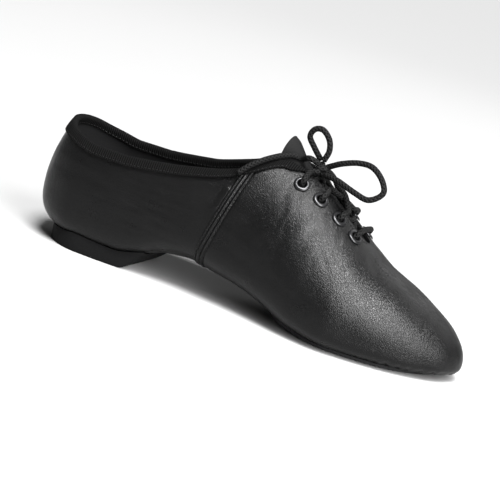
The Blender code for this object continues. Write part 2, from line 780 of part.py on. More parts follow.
def make_bow():
    """Knot, two loops, two ends and the two lengths up from the top eyelets, each a cord of its own."""
    cord("lace_knot", places(KNOT), CORD_RADIUS * 1.6)
    cord("lace_loop_small", places(SMALL_LOOP), CORD_RADIUS * 3)
    cord("lace_loop_large", places(LARGE_LOOP))
    cord("lace_end_inner", places(INNER_END))
    resting = [edge_point(station(x * MM), "outer", out * MM, down * MM) for x, out, down in OUTER_END_ON_COLLAR]
    cord("lace_end_outer", places(OUTER_END) + resting)
    for side in SIDES:
        start = over(0, side, -1 * MM, BAR_OVER_EYELET)
        edge = over(0, side, -6.5 * MM, BAR_OVER_LEATHER + GAP)
        cord(f"lace_rise_{side}", [start, edge, Vector(RISE_TOP[side]) * MM], CORD_RADIUS * 3)


def centre_on_floor():
    """Puts the middle of the shoe, cords left out, over the origin, with the floor at zero."""
    bpy.context.view_layer.update()
    cords = ("lace_knot", "lace_loop", "lace_end", "lace_rise")
    corners = []
    for made in shoe.objects:
        if made.type == "MESH" and not made.name.startswith(cords):
            corners += [made.matrix_world @ Vector(corner) for corner in made.bound_box]
    low = [min(corner[k] for corner in corners) for k in range(3)]
    high = [max(corner[k] for corner in corners) for k in range(3)]
    root.location = (-(low[0] + high[0]) / 2, -(low[1] + high[1]) / 2, -low[2])


for old in list(bpy.data.objects):
    bpy.data.objects.remove(old)

shoe = bpy.data.collections.new("jazz_shoe")
cutters = bpy.data.collections.new("cutters")
for collection in (shoe, cutters):
    bpy.context.scene.collection.children.link(collection)
root = bpy.data.objects.new("jazz_shoe_root", None)
shoe.objects.link(root)

cord_finish = material("cord", (0.012, 0.012, 0.013), 0.85)
finishes = {
    "upper": material("leather", LEATHER, 0.42),
    "tongue": material("tongue_leather", LEATHER, 0.45),
    "insole": material("lining", (0.02, 0.02, 0.021), 0.9),
    "collar_binding": material("ribbed_tape", (0.014, 0.014, 0.015), 0.75),
    "back_strip": material("strip_leather", LEATHER, 0.5),
    "forefoot_sole": material("suede", (0.03, 0.03, 0.031), 0.95),
    "heel": material("heel_rubber", (0.022, 0.022, 0.023), 0.85),
    "eyelet": material("black_metal", (0.05, 0.05, 0.052), 0.3, 0.9),
    **{name: cord_finish for name in ("lace_bar", "lace_cross", "lace_knot", "lace_loop_small",
                                      "lace_loop_large", "lace_end_inner", "lace_end_outer", "lace_rise_outer",
                                      "lace_rise_inner")},
}

make_upper()
make_patch()
make_heel()
make_insole()
make_tongue()
make_binding()
make_back_strip()
make_eyelets()
make_lace_bar()
make_lace_cross()
make_bow()
centre_on_floor()
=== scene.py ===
# %% [markdown]
# # A jazz shoe
# A soft black leather dance shoe with a split sole: a rubber pad under the heel, a suede patch under the
# ball and nothing but leather under the arch. The part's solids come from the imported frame. This lesson
# dresses them.

import math

import bmesh
import bpy
import numpy as np
from mathutils import Matrix, Vector, noise


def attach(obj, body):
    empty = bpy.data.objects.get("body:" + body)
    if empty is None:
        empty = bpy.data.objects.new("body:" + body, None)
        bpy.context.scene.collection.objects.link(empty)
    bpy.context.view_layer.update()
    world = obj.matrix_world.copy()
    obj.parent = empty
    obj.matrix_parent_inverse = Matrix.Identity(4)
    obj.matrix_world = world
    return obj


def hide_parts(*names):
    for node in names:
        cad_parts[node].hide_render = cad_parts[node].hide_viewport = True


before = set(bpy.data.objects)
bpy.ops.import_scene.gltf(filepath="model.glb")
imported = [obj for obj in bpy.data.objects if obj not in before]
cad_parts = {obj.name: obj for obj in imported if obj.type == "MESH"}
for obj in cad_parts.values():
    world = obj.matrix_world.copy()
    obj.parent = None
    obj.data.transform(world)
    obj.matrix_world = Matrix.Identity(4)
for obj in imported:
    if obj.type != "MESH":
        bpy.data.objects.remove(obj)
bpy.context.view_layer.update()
print("solids:", len(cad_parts))

MM = 0.001
ROOT = np.array((-128.878, -1.597, 0.0)) * MM


def as_object(name, data):
    made = bpy.data.objects.new(name, data)
    bpy.context.scene.collection.objects.link(made)
    return made


def only(made):
    """Selects one object and nothing else, for the operators."""
    bpy.ops.object.select_all(action="DESELECT")
    made.select_set(True)
    bpy.context.view_layer.objects.active = made


# %% [markdown]
# ## Camera
# The picture looks at the outer side from a little in front and above, with the frame tilted so that the
# toe points down to the right. The camera is turned about its own line of sight to get that tilt.

# %% Camera
VIEW_AZIMUTH = 19.78
VIEW_ELEVATION = 13.333
VIEW_ROLL = 15.814
VIEW_DISTANCE = 0.85
VIEW_WIDTH = 0.2742
VIEW_TARGET = Vector((0.0, 0.0, 0.035))
VIEW_OFFSET = (-0.00033, -0.00544)
SENSOR_WIDTH = 36


def set_camera():
    a, e, roll = (math.radians(v) for v in (VIEW_AZIMUTH, VIEW_ELEVATION, VIEW_ROLL))
    away = Vector((math.sin(a) * math.cos(e), -math.cos(a) * math.cos(e), math.sin(e)))
    right = Vector((math.cos(a), math.sin(a), 0))
    up = away.cross(right)
    target = VIEW_TARGET + right * VIEW_OFFSET[0] + up * VIEW_OFFSET[1]
    turned_right = right * math.cos(roll) + up * math.sin(roll)
    turned_up = up * math.cos(roll) - right * math.sin(roll)
    data = bpy.data.cameras.new("camera")
    data.sensor_width = SENSOR_WIDTH
    data.lens = SENSOR_WIDTH * VIEW_DISTANCE / VIEW_WIDTH
    data.clip_start = 0.01
    camera = as_object("camera", data)
    camera.matrix_world = Matrix.Translation(target + away * VIEW_DISTANCE) @ Matrix(
        (turned_right, turned_up, away)).transposed().to_4x4()
    bpy.context.scene.camera = camera
    return camera


camera = set_camera()
print("camera", [round(v, 3) for v in camera.location])

# %% [markdown]
# ## The last
# A shoe is pulled over a last, a block with the foot's shape. The same table of ribs as in the solids gives
# its skin here, worked out for many points at once, so each finished piece lies where its solid is.

# %% The last's table
LENGTH = 256 * MM
BALL_X = 190 * MM
BALL_WIDTH = 80 * MM
LAST_HEIGHT = 96 * MM
TOE_SLOPE = 0.35
WALL = 1.4 * MM
GAP = 0.3 * MM
COLUMNS = ("spine", "edge", "centre", "outer", "inner", "seat", "belly", "top", "low", "high",
           "patch_out", "patch_in", "opening")
RIBS = np.array([
    (0.141, 0.000, 0.000, 0.000, 0.000, 0.065, 0.350, 1.00, 3.0, 1.70, 0.60, 0.60, 0.00),
    (0.144, 0.034, 0.000, -0.266, 0.266, 0.065, 0.345, 1.00, 3.3, 1.72, 0.60, 0.60, 0.00),
    (0.168, 0.117, 0.000, -0.376, 0.378, 0.065, 0.325, 1.00, 4.2, 1.85, 0.60, 0.60, 0.00),
    (0.242, 0.234, 0.000, -0.384, 0.388, 0.073, 0.315, 1.00, 4.6, 2.00, 0.60, 0.60, 0.00),
    (0.352, 0.352, 0.001, -0.378, 0.389, 0.150, 0.342, 1.00, 2.8, 2.00, 0.60, 0.60, 0.00),
    (0.430, 0.430, 0.003, -0.374, 0.394, 0.163, 0.350, 0.98, 2.5, 1.95, 0.60, 0.60, 0.00),
    (0.508, 0.508, 0.006, -0.386, 0.414, 0.140, 0.325, 0.94, 2.7, 1.90, 0.60, 0.60, 0.00),
    (0.598, 0.598, 0.011, -0.422, 0.464, 0.083, 0.265, 0.865, 3.0, 1.85, 0.60, 0.60, 0.00),
    (0.672, 0.672, 0.016, -0.464, 0.499, 0.034, 0.205, 0.735, 3.5, 1.85, 0.70, 0.74, 0.58),
    (0.742, 0.742, 0.022, -0.479, 0.519, 0.0185, 0.170, 0.594, 4.0, 1.90, 0.77, 0.85, 0.62),
    (0.805, 0.814, 0.032, -0.430, 0.510, 0.0185, 0.150, 0.480, 4.0, 2.00, 0.79, 0.87, 0.62),
    (0.848, 0.883, 0.044, -0.354, 0.456, 0.0190, 0.130, 0.430, 3.6, 2.15, 0.78, 0.82, 0.58),
    (0.870, 0.944, 0.053, -0.240, 0.356, 0.0205, 0.111, 0.397, 3.2, 2.25, 0.68, 0.70, 0.46),
    (0.880, 0.991, 0.057, -0.092, 0.226, 0.0215, 0.099, 0.386, 3.0, 2.30, 0.60, 0.60, 0.36),
    (0.883, 1.008, 0.058, 0.0625, 0.0625, 0.0215, 0.095, 0.384, 3.0, 2.30, 0.58, 0.58, 0.33),
])
COLLAR_INNER_RISE = 3.5 * MM
COLLAR_INNER_X = 112 * MM
COLLAR_INNER_REACH = 28 * MM
COLLAR = np.array([(0, 69.0), (14, 64.4), (34, 60.4), (60, 61.0), (85, 65.2), (102, 70.5),
                   (114, 76.0), (122, 81.0), (130, 83.7), (138, 84.7), (147, 83.4)])
CORNER_X = 147 * MM
CORNER_BLEND = 18 * MM
THROAT_X = 192 * MM
THROAT_ROUND = 5 * MM
GAP_HALF_TOP = 7.8 * MM
GAP_HALF_END = 3.8 * MM
SEAM_X = 113 * MM
SEAM_LEAN = 0.25
SEAM_REACH = 34 * MM
SEAM_MIDDLE = 40 * MM
SEAM_STEP = 0.6 * MM
SEAM_RAMP = 0.5 * MM
HOLE_X = 163 * MM
SIDES = {"outer": -1, "inner": 1}
print("ribs:", len(RIBS))

# %% Columns of the table
VALUES = {name: RIBS[:, k] for k, name in enumerate(COLUMNS)}


def column_slopes(name):
    v = VALUES[name]
    before, after = v[1:-1] - v[:-2], v[2:] - v[1:-1]
    product = before * after
    inside = np.where(product > 0, 2 * product / np.where(product > 0, before + after, 1), 0)
    end = 1.12 if name in SIDES else 0.0
    return np.concatenate([[end * (v[1] - v[0])], inside, [end * (v[-1] - v[-2])]])


STEEPNESS = {name: column_slopes(name) for name in COLUMNS}


def column(name, u):
    """A column's value at u from 0 at the heel to 1 at the toe."""
    v, m = VALUES[name], STEEPNESS[name]
    place = np.clip(u, 0, 1) * (len(v) - 1)
    i = np.minimum(place.astype(int), len(v) - 2)
    s = place - i
    a, b, ma, mb = v[i], v[i + 1], m[i], m[i + 1]
    return (a * (1 + 2 * s) + ma * s) * (1 - s) ** 2 + (b * (3 - 2 * s) - mb * (1 - s)) * s * s


def ramp(value, start, end):
    t = np.clip((value - start) / (end - start), 0, 1)
    return t * t * (3 - 2 * t)


def spine_x(u):
    return column("spine", u) * LENGTH


def station(x):
    """The rib whose foot is at x."""
    fine = np.linspace(0, 1, 4001)
    return np.interp(x, spine_x(fine), fine)


def width(u, side):
    along = (column("edge", u) - column("spine", u)) * LENGTH
    across = (column(side, u) - column("centre", u)) * BALL_WIDTH
    return np.hypot(along, across)


print("width at the ball:", round(float(sum(width(station(BALL_X), side) for side in SIDES)), 4))


# %% The last's skin
def last_point(u, side, phi):
    """phi is 0 underneath, a quarter turn at the widest level and a half turn on top."""
    foot_x, foot_y = column("spine", u) * LENGTH, column("centre", u) * BALL_WIDTH
    edge_x, edge_y = column("edge", u) * LENGTH, column(side, u) * BALL_WIDTH
    seat, belly, top = (column(name, u) * LAST_HEIGHT for name in ("seat", "belly", "top"))
    below = phi < math.pi / 2
    power = 2 / np.where(below, column("low", u), column("high", u))
    reach = np.abs(np.sin(phi)) ** power
    rise = np.abs(np.cos(phi)) ** power
    z = np.where(below, belly - (belly - seat) * rise, belly + (top - belly) * rise)
    x = foot_x + (edge_x - foot_x) * reach
    y = foot_y + (edge_y - foot_y) * reach
    z = z - np.where(~below & (x > foot_x), TOE_SLOPE * (x - foot_x) * rise, 0)
    near = np.maximum(0, 1 - ((foot_x - SEAM_X) / SEAM_REACH) ** 2) ** 2
    return np.stack([x + SEAM_LEAN * (z - SEAM_MIDDLE) * near, y, z], axis=-1)


def unit(v):
    return v / np.maximum(np.linalg.norm(v, axis=-1, keepdims=True), 1e-12)


def slopes_at(u, side, phi):
    du, dphi = 2e-4, 2e-3
    p0, p1 = np.maximum(phi - dphi, 1e-6), np.minimum(phi + dphi, math.pi - 1e-6)
    tangent = last_point(np.minimum(u + du, 1), side, phi) - last_point(np.maximum(u - du, 0), side, phi)
    rising = unit(last_point(u, side, p1) - last_point(u, side, p0))
    return unit(np.cross(tangent, rising) * -SIDES[side]), rising


def frame_at(u, side, phi):
    """Point, outward normal and direction of rising phi."""
    u, phi = np.broadcast_arrays(np.asarray(u, float), np.asarray(phi, float))
    normal, rising = slopes_at(u, side, phi)
    other, _ = slopes_at(u, "inner" if side == "outer" else "outer", phi)
    shared = ((u < 1e-4) | (u > 1 - 1e-4))[..., None]
    normal = np.where(shared, unit(normal + other), normal)
    run = last_point(np.minimum(u + 0.01, 1), side, phi) - last_point(np.maximum(u - 0.01, 0), side, phi)
    level = unit(np.stack([run[..., 2], np.zeros_like(u), -run[..., 0]], axis=-1))
    under, over = (phi < 1e-3)[..., None], (phi > math.pi - 1e-3)[..., None]
    normal = np.where(under, level, np.where(over, -level, normal))
    return last_point(u, side, phi), normal, rising


def skin_row(u, side, phi, out):
    """Points out from the last, and the normals there."""
    point, normal, _ = frame_at(u, side, phi)
    return point + normal * np.asarray(out)[..., None], normal


def skin(u, side, phi, out):
    return skin_row(u, side, phi, out)[0]


def phi_at_reach(u, share, below):
    power = column("low" if below else "high", u) / 2
    angle = np.arcsin(np.clip(share, 0, 1) ** power)
    return angle if below else math.pi - angle


def phi_out(u, side, out, below=False):
    """Where the skin is out metres from the rib's middle."""
    return phi_at_reach(u, out / width(u, side), below)


def phi_at_height(u, z):
    belly, top = column("belly", u) * LAST_HEIGHT, column("top", u) * LAST_HEIGHT
    upper = np.clip((z - belly) / (top - belly), 0, 1)
    seat = column("seat", u) * LAST_HEIGHT
    lower = np.clip((belly - z) / (belly - seat), 0, 1)
    return np.where(z > belly, math.pi - np.arccos(upper ** (column("high", u) / 2)),
                    np.arccos(lower ** (column("low", u) / 2)))


# %% Edges of the upper
def throat_half(x):
    start = THROAT_X - THROAT_ROUND
    share = np.clip((x - CORNER_X) / (start - CORNER_X), 0, 1)
    half = GAP_HALF_TOP + (GAP_HALF_END - GAP_HALF_TOP) * share
    half = half * np.sqrt(np.clip(1 - (np.maximum(x - start, 0) / THROAT_ROUND) ** 2, 0, 1))
    return np.where(x >= THROAT_X, 0.0, half)


def collar_height(x):
    """The collar's edge, its corners rounded off a little."""
    fine = np.arange(-20, 170, 0.5)
    heights = np.interp(fine, COLLAR[:, 0], COLLAR[:, 1])
    soft = np.exp(-(np.arange(-16, 17) / 7) ** 2)
    heights = np.convolve(np.pad(heights, 16, mode="edge"), soft / soft.sum(), "valid")
    return np.interp(x / MM, fine, heights) * MM


def inner_rise(x, side):
    """How much higher the collar is on the inner side."""
    if side == "outer":
        return 0 * x
    return COLLAR_INNER_RISE * np.maximum(0, 1 - ((x - COLLAR_INNER_X) / COLLAR_INNER_REACH) ** 2) ** 2


def collar_phi(u, side):
    foot_x = spine_x(u)
    x = np.where(foot_x < 60 * MM, column("edge", u) * LENGTH, foot_x)
    at_collar = phi_at_height(u, collar_height(x) + inner_rise(x, side))
    share = throat_half(foot_x) / np.maximum(width(u, side), 1e-6)
    at_facing = phi_at_reach(u, share, below=False)
    soft = 0.045
    both = -soft * np.log(np.exp(-at_collar / soft) + np.exp(-at_facing / soft))
    phi = np.where(foot_x < CORNER_X - CORNER_BLEND, at_collar, both)
    return np.where(foot_x >= THROAT_X, math.pi, phi)


def hole_share(u):
    t = np.clip((spine_x(u) - HOLE_X) / (13 * MM), 0, 1)
    return column("opening", u) * np.sqrt(np.clip(1 - (1 - t) ** 2, 0, 1))


def seam_step(u):
    return SEAM_STEP * ramp(spine_x(u), SEAM_X - SEAM_RAMP, SEAM_X + SEAM_RAMP)


def arc(points):
    """Distance along a line of points at each of them."""
    return np.concatenate([[0], np.cumsum(np.linalg.norm(np.diff(points, axis=0), axis=1))])


def fine_stations(start, end, step, finer=()):
    """Ribs about a step apart all round the shoe, closer in the named stretches of (from x, to x, step)."""
    u = np.linspace(start, end, 6001)
    paths = [np.stack([spine_x(u), 0 * u], 1)]
    paths += [np.stack([column("edge", u) * LENGTH, column(side, u) * BALL_WIDTH], 1) for side in SIDES]
    moves = np.max([np.linalg.norm(np.diff(p, axis=0), axis=1) for p in paths], axis=0)
    x = np.maximum(spine_x(u), np.where(u > 0.5, column("edge", u) * LENGTH, 0))[1:]
    wanted = np.full(len(moves), step)
    for low, high, small in finer:
        wanted = np.where((x > low) & (x < high), small, wanted)
    total = np.concatenate([[0], np.cumsum(moves / wanted)])
    count = int(round(total[-1]))
    return np.interp(np.arange(count + 1) * total[-1] / count, total, u)


def even_phis(u, side, low, high, count):
    """Points along each rib that are evenly spaced over the leather, from phi low to phi high."""
    t = 0.5 - 0.5 * np.cos(np.linspace(0, math.pi, 260))
    phis = low[:, None] + (high - low)[:, None] * t[None, :]
    points = last_point(np.repeat(u[:, None], len(t), 1), side, phis)
    lengths = np.cumsum(np.linalg.norm(np.diff(points, axis=1), axis=2), axis=1)
    lengths = np.concatenate([np.zeros((len(u), 1)), lengths], axis=1)
    goals = np.linspace(0, 1, count + 1)
    return np.array([np.interp(goals * l[-1], l, p) for l, p in zip(lengths, phis)])


print("collar at the back:", round(float(collar_height(0.0)), 4))


# %% [markdown]
# ## Lofting
# The leather is two grids of points, the outer and the inner face, sewn round their edges. No primitive has
# this shape, so the faces are made in code. Points that fall together, as at the toe and the heel, become
# one.

# %% Closed loft
BEVEL_SEGMENTS = 3
BEVEL_ANGLE = 50


def closed_loft(name, near, far, skip=None, values=None):
    """A solid between two grids of points in the shoe's frame. values are numbers kept for each near point."""
    index, used, grid = {}, [], np.empty(near.shape[:2], int)
    keys = np.round(near * 1e7).astype(np.int64)
    for i in range(near.shape[0]):
        for j in range(near.shape[1]):
            key = tuple(keys[i, j])
            if key not in index:
                index[key] = len(used)
                used.append((i, j))
            grid[i, j] = index[key]
    used = np.array(used)
    count = len(used)
    faces = []
    for i in range(near.shape[0] - 1):
        for j in range(near.shape[1] - 1):
            if j == skip:
                continue
            ring = [int(grid[i, j]), int(grid[i, j + 1]), int(grid[i + 1, j + 1]), int(grid[i + 1, j])]
            ring = [v for k, v in enumerate(ring) if v != ring[k - 1]]
            if len(ring) > 2:
                faces.append(ring)
    uses = {}
    for ring in faces:
        for a, b in zip(ring, ring[1:] + ring[:1]):
            uses.setdefault((min(a, b), max(a, b)), []).append((a, b))
    rims = [[b, a, a + count, b + count] for ways in uses.values() if len(ways) == 1 for a, b in ways]
    back = [[v + count for v in reversed(ring)] for ring in faces]
    points = np.concatenate([near[used[:, 0], used[:, 1]], far[used[:, 0], used[:, 1]]]) + ROOT
    mesh = bpy.data.meshes.new(name)
    mesh.from_pydata(points.tolist(), [], faces + back + rims)
    kinds = [0] * len(faces) + [1] * len(back) + [0] * len(rims)
    mesh.polygons.foreach_set("material_index", kinds)
    for key, grid_values in (values or {}).items():
        flat = np.tile(grid_values[used[:, 0], used[:, 1]], (2,) + (1,) * (grid_values.ndim - 2))
        layer = mesh.attributes.new(key, "FLOAT" if grid_values.ndim == 2 else "FLOAT_VECTOR", "POINT")
        layer.data.foreach_set("value" if grid_values.ndim == 2 else "vector",
                               flat.astype(np.float32).ravel())
    work = bmesh.new()
    work.from_mesh(mesh)
    bmesh.ops.recalc_face_normals(work, faces=work.faces)
    work.to_mesh(mesh)
    work.free()
    mesh.shade_smooth()
    print(name, len(mesh.polygons), "faces")
    return as_object(name, mesh)


def finish_piece(made, slot, *nodes):
    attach(made, "root")
    if nodes:
        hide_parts(*nodes)
    return made


def sharpen(made, degrees):
    """Smooth shading with the rims kept crisp."""
    only(made)
    bpy.ops.object.shade_smooth_by_angle(angle=math.radians(degrees))


def bevelled(made, amount):
    only(made)
    round_off = made.modifiers.new("round", "BEVEL")
    round_off.width = amount
    round_off.segments = BEVEL_SEGMENTS
    round_off.limit_method = "ANGLE"
    round_off.angle_limit = math.radians(BEVEL_ANGLE)
    bpy.ops.object.modifier_apply(modifier=round_off.name)


def dress(made, finish, slot, *nodes, bevel=0.0, crisp=0):
    """Gives a piece its material, rounds its rims and finishes it."""
    made.data.materials.append(finish)
    if bevel:
        bevelled(made, bevel)
    if crisp:
        sharpen(made, crisp)
    return finish_piece(made, slot, *nodes)


# %% [markdown]
# ## Shared patterns
# Leather grain is used in more than one finish. It is a node group with plain inputs and outputs that only
# makes numbers, and the shader stays in the material. Cloth and braid are made inside their own materials.

# %% Node helpers
def node(tree, kind, inputs=None, **settings):
    """A node with its settings. inputs gives a socket its value, or another node's output to read."""
    made = tree.nodes.new(kind)
    for key, value in settings.items():
        setattr(made, key, value)
    for key, value in (inputs or {}).items():
        if isinstance(value, bpy.types.NodeSocket):
            tree.links.new(value, made.inputs[key])
        else:
            made.inputs[key].default_value = value
    return made


def calc(tree, kind, a, b=0.0):
    return node(tree, "ShaderNodeMath", {0: a, 1: b}, operation=kind).outputs[0]


def noise_at(tree, place, scale, detail=2.0, rough=0.5, bend=0.0):
    return node(tree, "ShaderNodeTexNoise", {"Vector": place, "Scale": scale, "Detail": detail,
                                             "Roughness": rough, "Distortion": bend})


def spread(tree, value, low, high, to_low, to_high):
    """The value's range laid over another range."""
    return node(tree, "ShaderNodeMapRange", {"Value": value, "From Min": low, "From Max": high,
                                             "To Min": to_low, "To Max": to_high}).outputs["Result"]


def new_group(name, inputs, outputs):
    group = bpy.data.node_groups.new(name, "ShaderNodeTree")
    for label, kind, value in inputs:
        socket = group.interface.new_socket(label, in_out="INPUT", socket_type=kind)
        if value is not None:
            socket.default_value = value
    for label, kind in outputs:
        group.interface.new_socket(label, in_out="OUTPUT", socket_type=kind)
    return group, node(group, "NodeGroupInput"), node(group, "NodeGroupOutput")


# %% Leather grain
WARP_SCALE, WARP_REACH = 300, 0.0006
CELL_SCALE, CELL_GAIN, CELL_POWER = 1150, 3.0, 0.6
HAIR_SCALE, HAIR_SHARE = 900, 1.2
FOLD_SCALE, FOLD_GAIN, FOLD_HEIGHT = 150, 5.5, 1.5
FOLD_STRETCH = (0.15, 0.6, 1.5)
MOTTLE_SCALE = 65
GRAIN_DEPTH = 0.00008


def make_grain():
    group, start, end = new_group(
        "grain", [("Vector", "NodeSocketVector", None), ("Pebble", "NodeSocketFloat", 1.0),
                  ("Wrinkle", "NodeSocketFloat", 0.0)],
        [("Height", "NodeSocketFloat"), ("Mottle", "NodeSocketFloat")])
    place = start.outputs["Vector"]
    shift = node(group, "ShaderNodeVectorMath", {0: noise_at(group, place, WARP_SCALE).outputs["Color"],
                                                 1: (WARP_REACH,) * 3, 2: place}, operation="MULTIPLY_ADD")
    cells = node(group, "ShaderNodeTexVoronoi", {"Scale": CELL_SCALE, "Vector": shift.outputs[0]},
                 feature="DISTANCE_TO_EDGE")
    domes = calc(group, "MINIMUM", calc(group, "MULTIPLY", cells.outputs["Distance"], CELL_GAIN), 1.0)
    hairs = noise_at(group, place, HAIR_SCALE, 3).outputs["Fac"]
    pebble = calc(group, "ADD", calc(group, "POWER", domes, CELL_POWER),
                  calc(group, "MULTIPLY", hairs, HAIR_SHARE))
    pebble = calc(group, "MULTIPLY", pebble, start.outputs["Pebble"])
    long_way = node(group, "ShaderNodeMapping", {"Scale": FOLD_STRETCH, "Vector": place}).outputs[0]
    folds = noise_at(group, long_way, FOLD_SCALE, 4, 0.65, 1.2).outputs["Fac"]
    ridge = calc(group, "MULTIPLY", calc(group, "ABSOLUTE", calc(group, "SUBTRACT", folds, 0.5)), FOLD_GAIN)
    wrinkle = calc(group, "MULTIPLY", calc(group, "MINIMUM", ridge, 1.0), start.outputs["Wrinkle"])
    height = calc(group, "ADD", pebble, calc(group, "MULTIPLY", wrinkle, FOLD_HEIGHT))
    group.links.new(height, end.inputs["Height"])
    group.links.new(noise_at(group, place, MOTTLE_SCALE, 4).outputs["Fac"], end.inputs["Mottle"])
    return group


grain = make_grain()
print("grain nodes:", len(grain.nodes))


# %% Materials from the groups
def new_material(name, colour, roughness, **sockets):
    made = bpy.data.materials.new(name)
    made.use_nodes = True
    shader = made.node_tree.nodes["Principled BSDF"]
    shader.inputs["Base Color"].default_value = (*colour, 1)
    shader.inputs["Roughness"].default_value = roughness
    for key, value in sockets.items():
        shader.inputs[key.replace("_", " ")].default_value = value
    return made, made.node_tree, shader


def bumped(tree, shader, height, distance):
    bump = node(tree, "ShaderNodeBump", {"Strength": 1.0, "Distance": distance, "Height": height})
    tree.links.new(bump.outputs["Normal"], shader.inputs["Normal"])


def leather(name, colour, roughness, pebble=1.0, wrinkle=0.0, flex=False):
    """Satin leather: grain in the bump, cloudy roughness, and finer wrinkles where the piece's flex is high."""
    made, tree, shader = new_material(name, colour, roughness, Specular_IOR_Level=0.18)
    if flex:
        wrinkle = node(tree, "ShaderNodeAttribute", attribute_name="flex").outputs["Fac"]
    spot = node(tree, "ShaderNodeTexCoord").outputs["Object"]
    skin_grain = node(tree, "ShaderNodeGroup", {"Vector": spot, "Pebble": pebble, "Wrinkle": wrinkle},
                      node_tree=grain)
    bumped(tree, shader, skin_grain.outputs["Height"], GRAIN_DEPTH)
    dull = spread(tree, skin_grain.outputs["Mottle"], 0.3, 0.7, roughness - 0.05, roughness + 0.07)
    tree.links.new(dull, shader.inputs["Roughness"])
    return made


vamp_leather = leather("upper_leather", (0.0018, 0.0018, 0.00185), 0.31, flex=True)
tongue_leather = leather("tongue_leather", (0.001, 0.001, 0.00105), 0.8, pebble=1.1, wrinkle=0.35)
strip_leather = leather("strip_leather", (0.002, 0.002, 0.0021), 0.5, pebble=0.8)
print("leathers ready")


# %% Cloth, suede, rubber, metal and thread
def pitted(name, colour, roughness, scale, depth, painted_nap_light=0.35, **sockets):
    """A matte finish with a fine random nap, a little lighter on its high spots as a painted highlight and
    darker in its low spots as painted shade.
    """
    made, tree, shader = new_material(name, colour, roughness, **sockets)
    nap = noise_at(tree, node(tree, "ShaderNodeTexCoord").outputs["Object"], scale, 5, 0.7).outputs["Fac"]
    bumped(tree, shader, nap, depth)
    # painted highlight and shade: the base colour follows the nap's bump height, darker in the low spots and
    # lighter on the high ones
    dark, light = ((*[c * share for c in colour], 1) for share in (1 - painted_nap_light, 1 + 2 * painted_nap_light))
    mix = node(tree, "ShaderNodeMix", {0: nap, 6: dark, 7: light}, data_type="RGBA")
    tree.links.new(mix.outputs[2], shader.inputs["Base Color"])
    return made


lining_cloth = pitted("lining_cloth", (0.006, 0.006, 0.0062), 0.95, 2200, 0.0001, Specular_IOR_Level=0.12)
insole_cloth = pitted("insole_cloth", (0.007, 0.007, 0.0073), 0.95, 1500, 0.0001, Specular_IOR_Level=0.12)
suede = pitted("suede", (0.011, 0.011, 0.0113), 0.95, 1300, 0.00022, painted_nap_light=0.6, Specular_IOR_Level=0.15)
heel_rubber = pitted("heel_rubber", (0.003, 0.003, 0.0031), 0.75, 900, 0.00012, Specular_IOR_Level=0.08)
thread = pitted("thread", (0.003, 0.003, 0.0031), 0.5, 3000, 0.00003, Specular_IOR_Level=0.15)
black_metal, _, _ = new_material("black_metal", (0.018, 0.018, 0.019), 0.3, Metallic=0.7)


# %% Ribbed tape and braided cord
def own_map(tree):
    """Along and across, from the piece's own map."""
    place = node(tree, "ShaderNodeUVMap", uv_map="map").outputs[0]
    parts = node(tree, "ShaderNodeSeparateXYZ", {0: place})
    return parts.outputs["X"], parts.outputs["Y"]


def turns(tree, value, times):
    return calc(tree, "MULTIPLY", value, 2 * math.pi * times)


def ribbed(name, colour, pitch):
    """Grosgrain: fine ribs across the tape, read from its own map in metres, with painted shade between the
    ribs and a painted highlight on each rib.
    """
    made, tree, shader = new_material(name, colour, 0.8, Specular_IOR_Level=0.05)
    along, across = own_map(tree)
    rib = calc(tree, "SINE", turns(tree, along, 1 / pitch))
    yarn = calc(tree, "SINE", turns(tree, across, 1 / (pitch * 0.45)))
    bumped(tree, shader, calc(tree, "ADD", rib, calc(tree, "MULTIPLY", yarn, 0.3)), 0.0003)
    # painted shade and highlight: the base colour follows the rib's bump height, dark in the grooves and light
    # on the crests
    tree.links.new(spread(tree, rib, -1, 1, colour[0] * 0.2, colour[0] * 2.2), shader.inputs["Base Color"])
    return made


def braided(name, colour):
    """Round braid: two sets of strands that cross, read from the cord's own map in turns and diameters, with
    painted shade between the strands and a painted highlight on their crests.
    """
    made, tree, shader = new_material(name, colour, 0.65, Specular_IOR_Level=0.1)
    along, round_it = own_map(tree)
    along, round_it = turns(tree, along, 1.5), turns(tree, round_it, 4)
    one, two = (calc(tree, "SINE", calc(tree, way, along, round_it)) for way in ("ADD", "SUBTRACT"))
    top = calc(tree, "MAXIMUM", one, two)
    bumped(tree, shader, top, 0.00028)
    # painted shade and highlight: the base colour follows the strands' bump height, dark between them and light
    # on their crests
    tree.links.new(spread(tree, top, -0.6, 1, colour[0] * 0.25, colour[0] * 1.7), shader.inputs["Base Color"])
    return made


tape_cloth = ribbed("tape_cloth", (0.0024, 0.0024, 0.0025), 1.3 * MM)
lace_braid = braided("lace_braid", (0.003, 0.003, 0.0031))
print("materials:", len(bpy.data.materials))


# %% [markdown]
# ## Upper
# One shell of thin leather, lapped where the vamp lies over the quarters. Flat patterns could be cut and
# folded up as a shoemaker does, but the finished form is what shows, so the shell is lofted straight over
# the last. The step of the lap, the grooves that the stitches pull, the gathers round the toe and the soft
# wrinkles are all small heights added to the last's skin. That keeps them in one mesh that has no gaps.

# %% Strokes for wrinkles
SIDE_DEPTH = 1.5
TOP_DEPTH = 1.6
STROKE_STEP = 0.8


def on_side(side, x, z):
    u = station(x * MM)
    return last_point(u, side, phi_at_height(u, z * MM))


def on_top(side, x, out):
    u = station(x * MM)
    return last_point(u, side, phi_out(u, side, out * MM))


def stroke(place, side, ends, wide, deep):
    """A wrinkle over the leather from one end to the other, wide and deep given in millimetres."""
    (x0, v0), (x1, v1) = ends
    count = max(5, int(math.hypot(x1 - x0, v1 - v0) / STROKE_STEP))
    points = np.array([place(side, x0 + (x1 - x0) * t, v0 + (v1 - v0) * t) for t in np.linspace(0, 1, count)])
    return points, wide * MM, deep * (TOP_DEPTH if place is on_top else SIDE_DEPTH) * MM


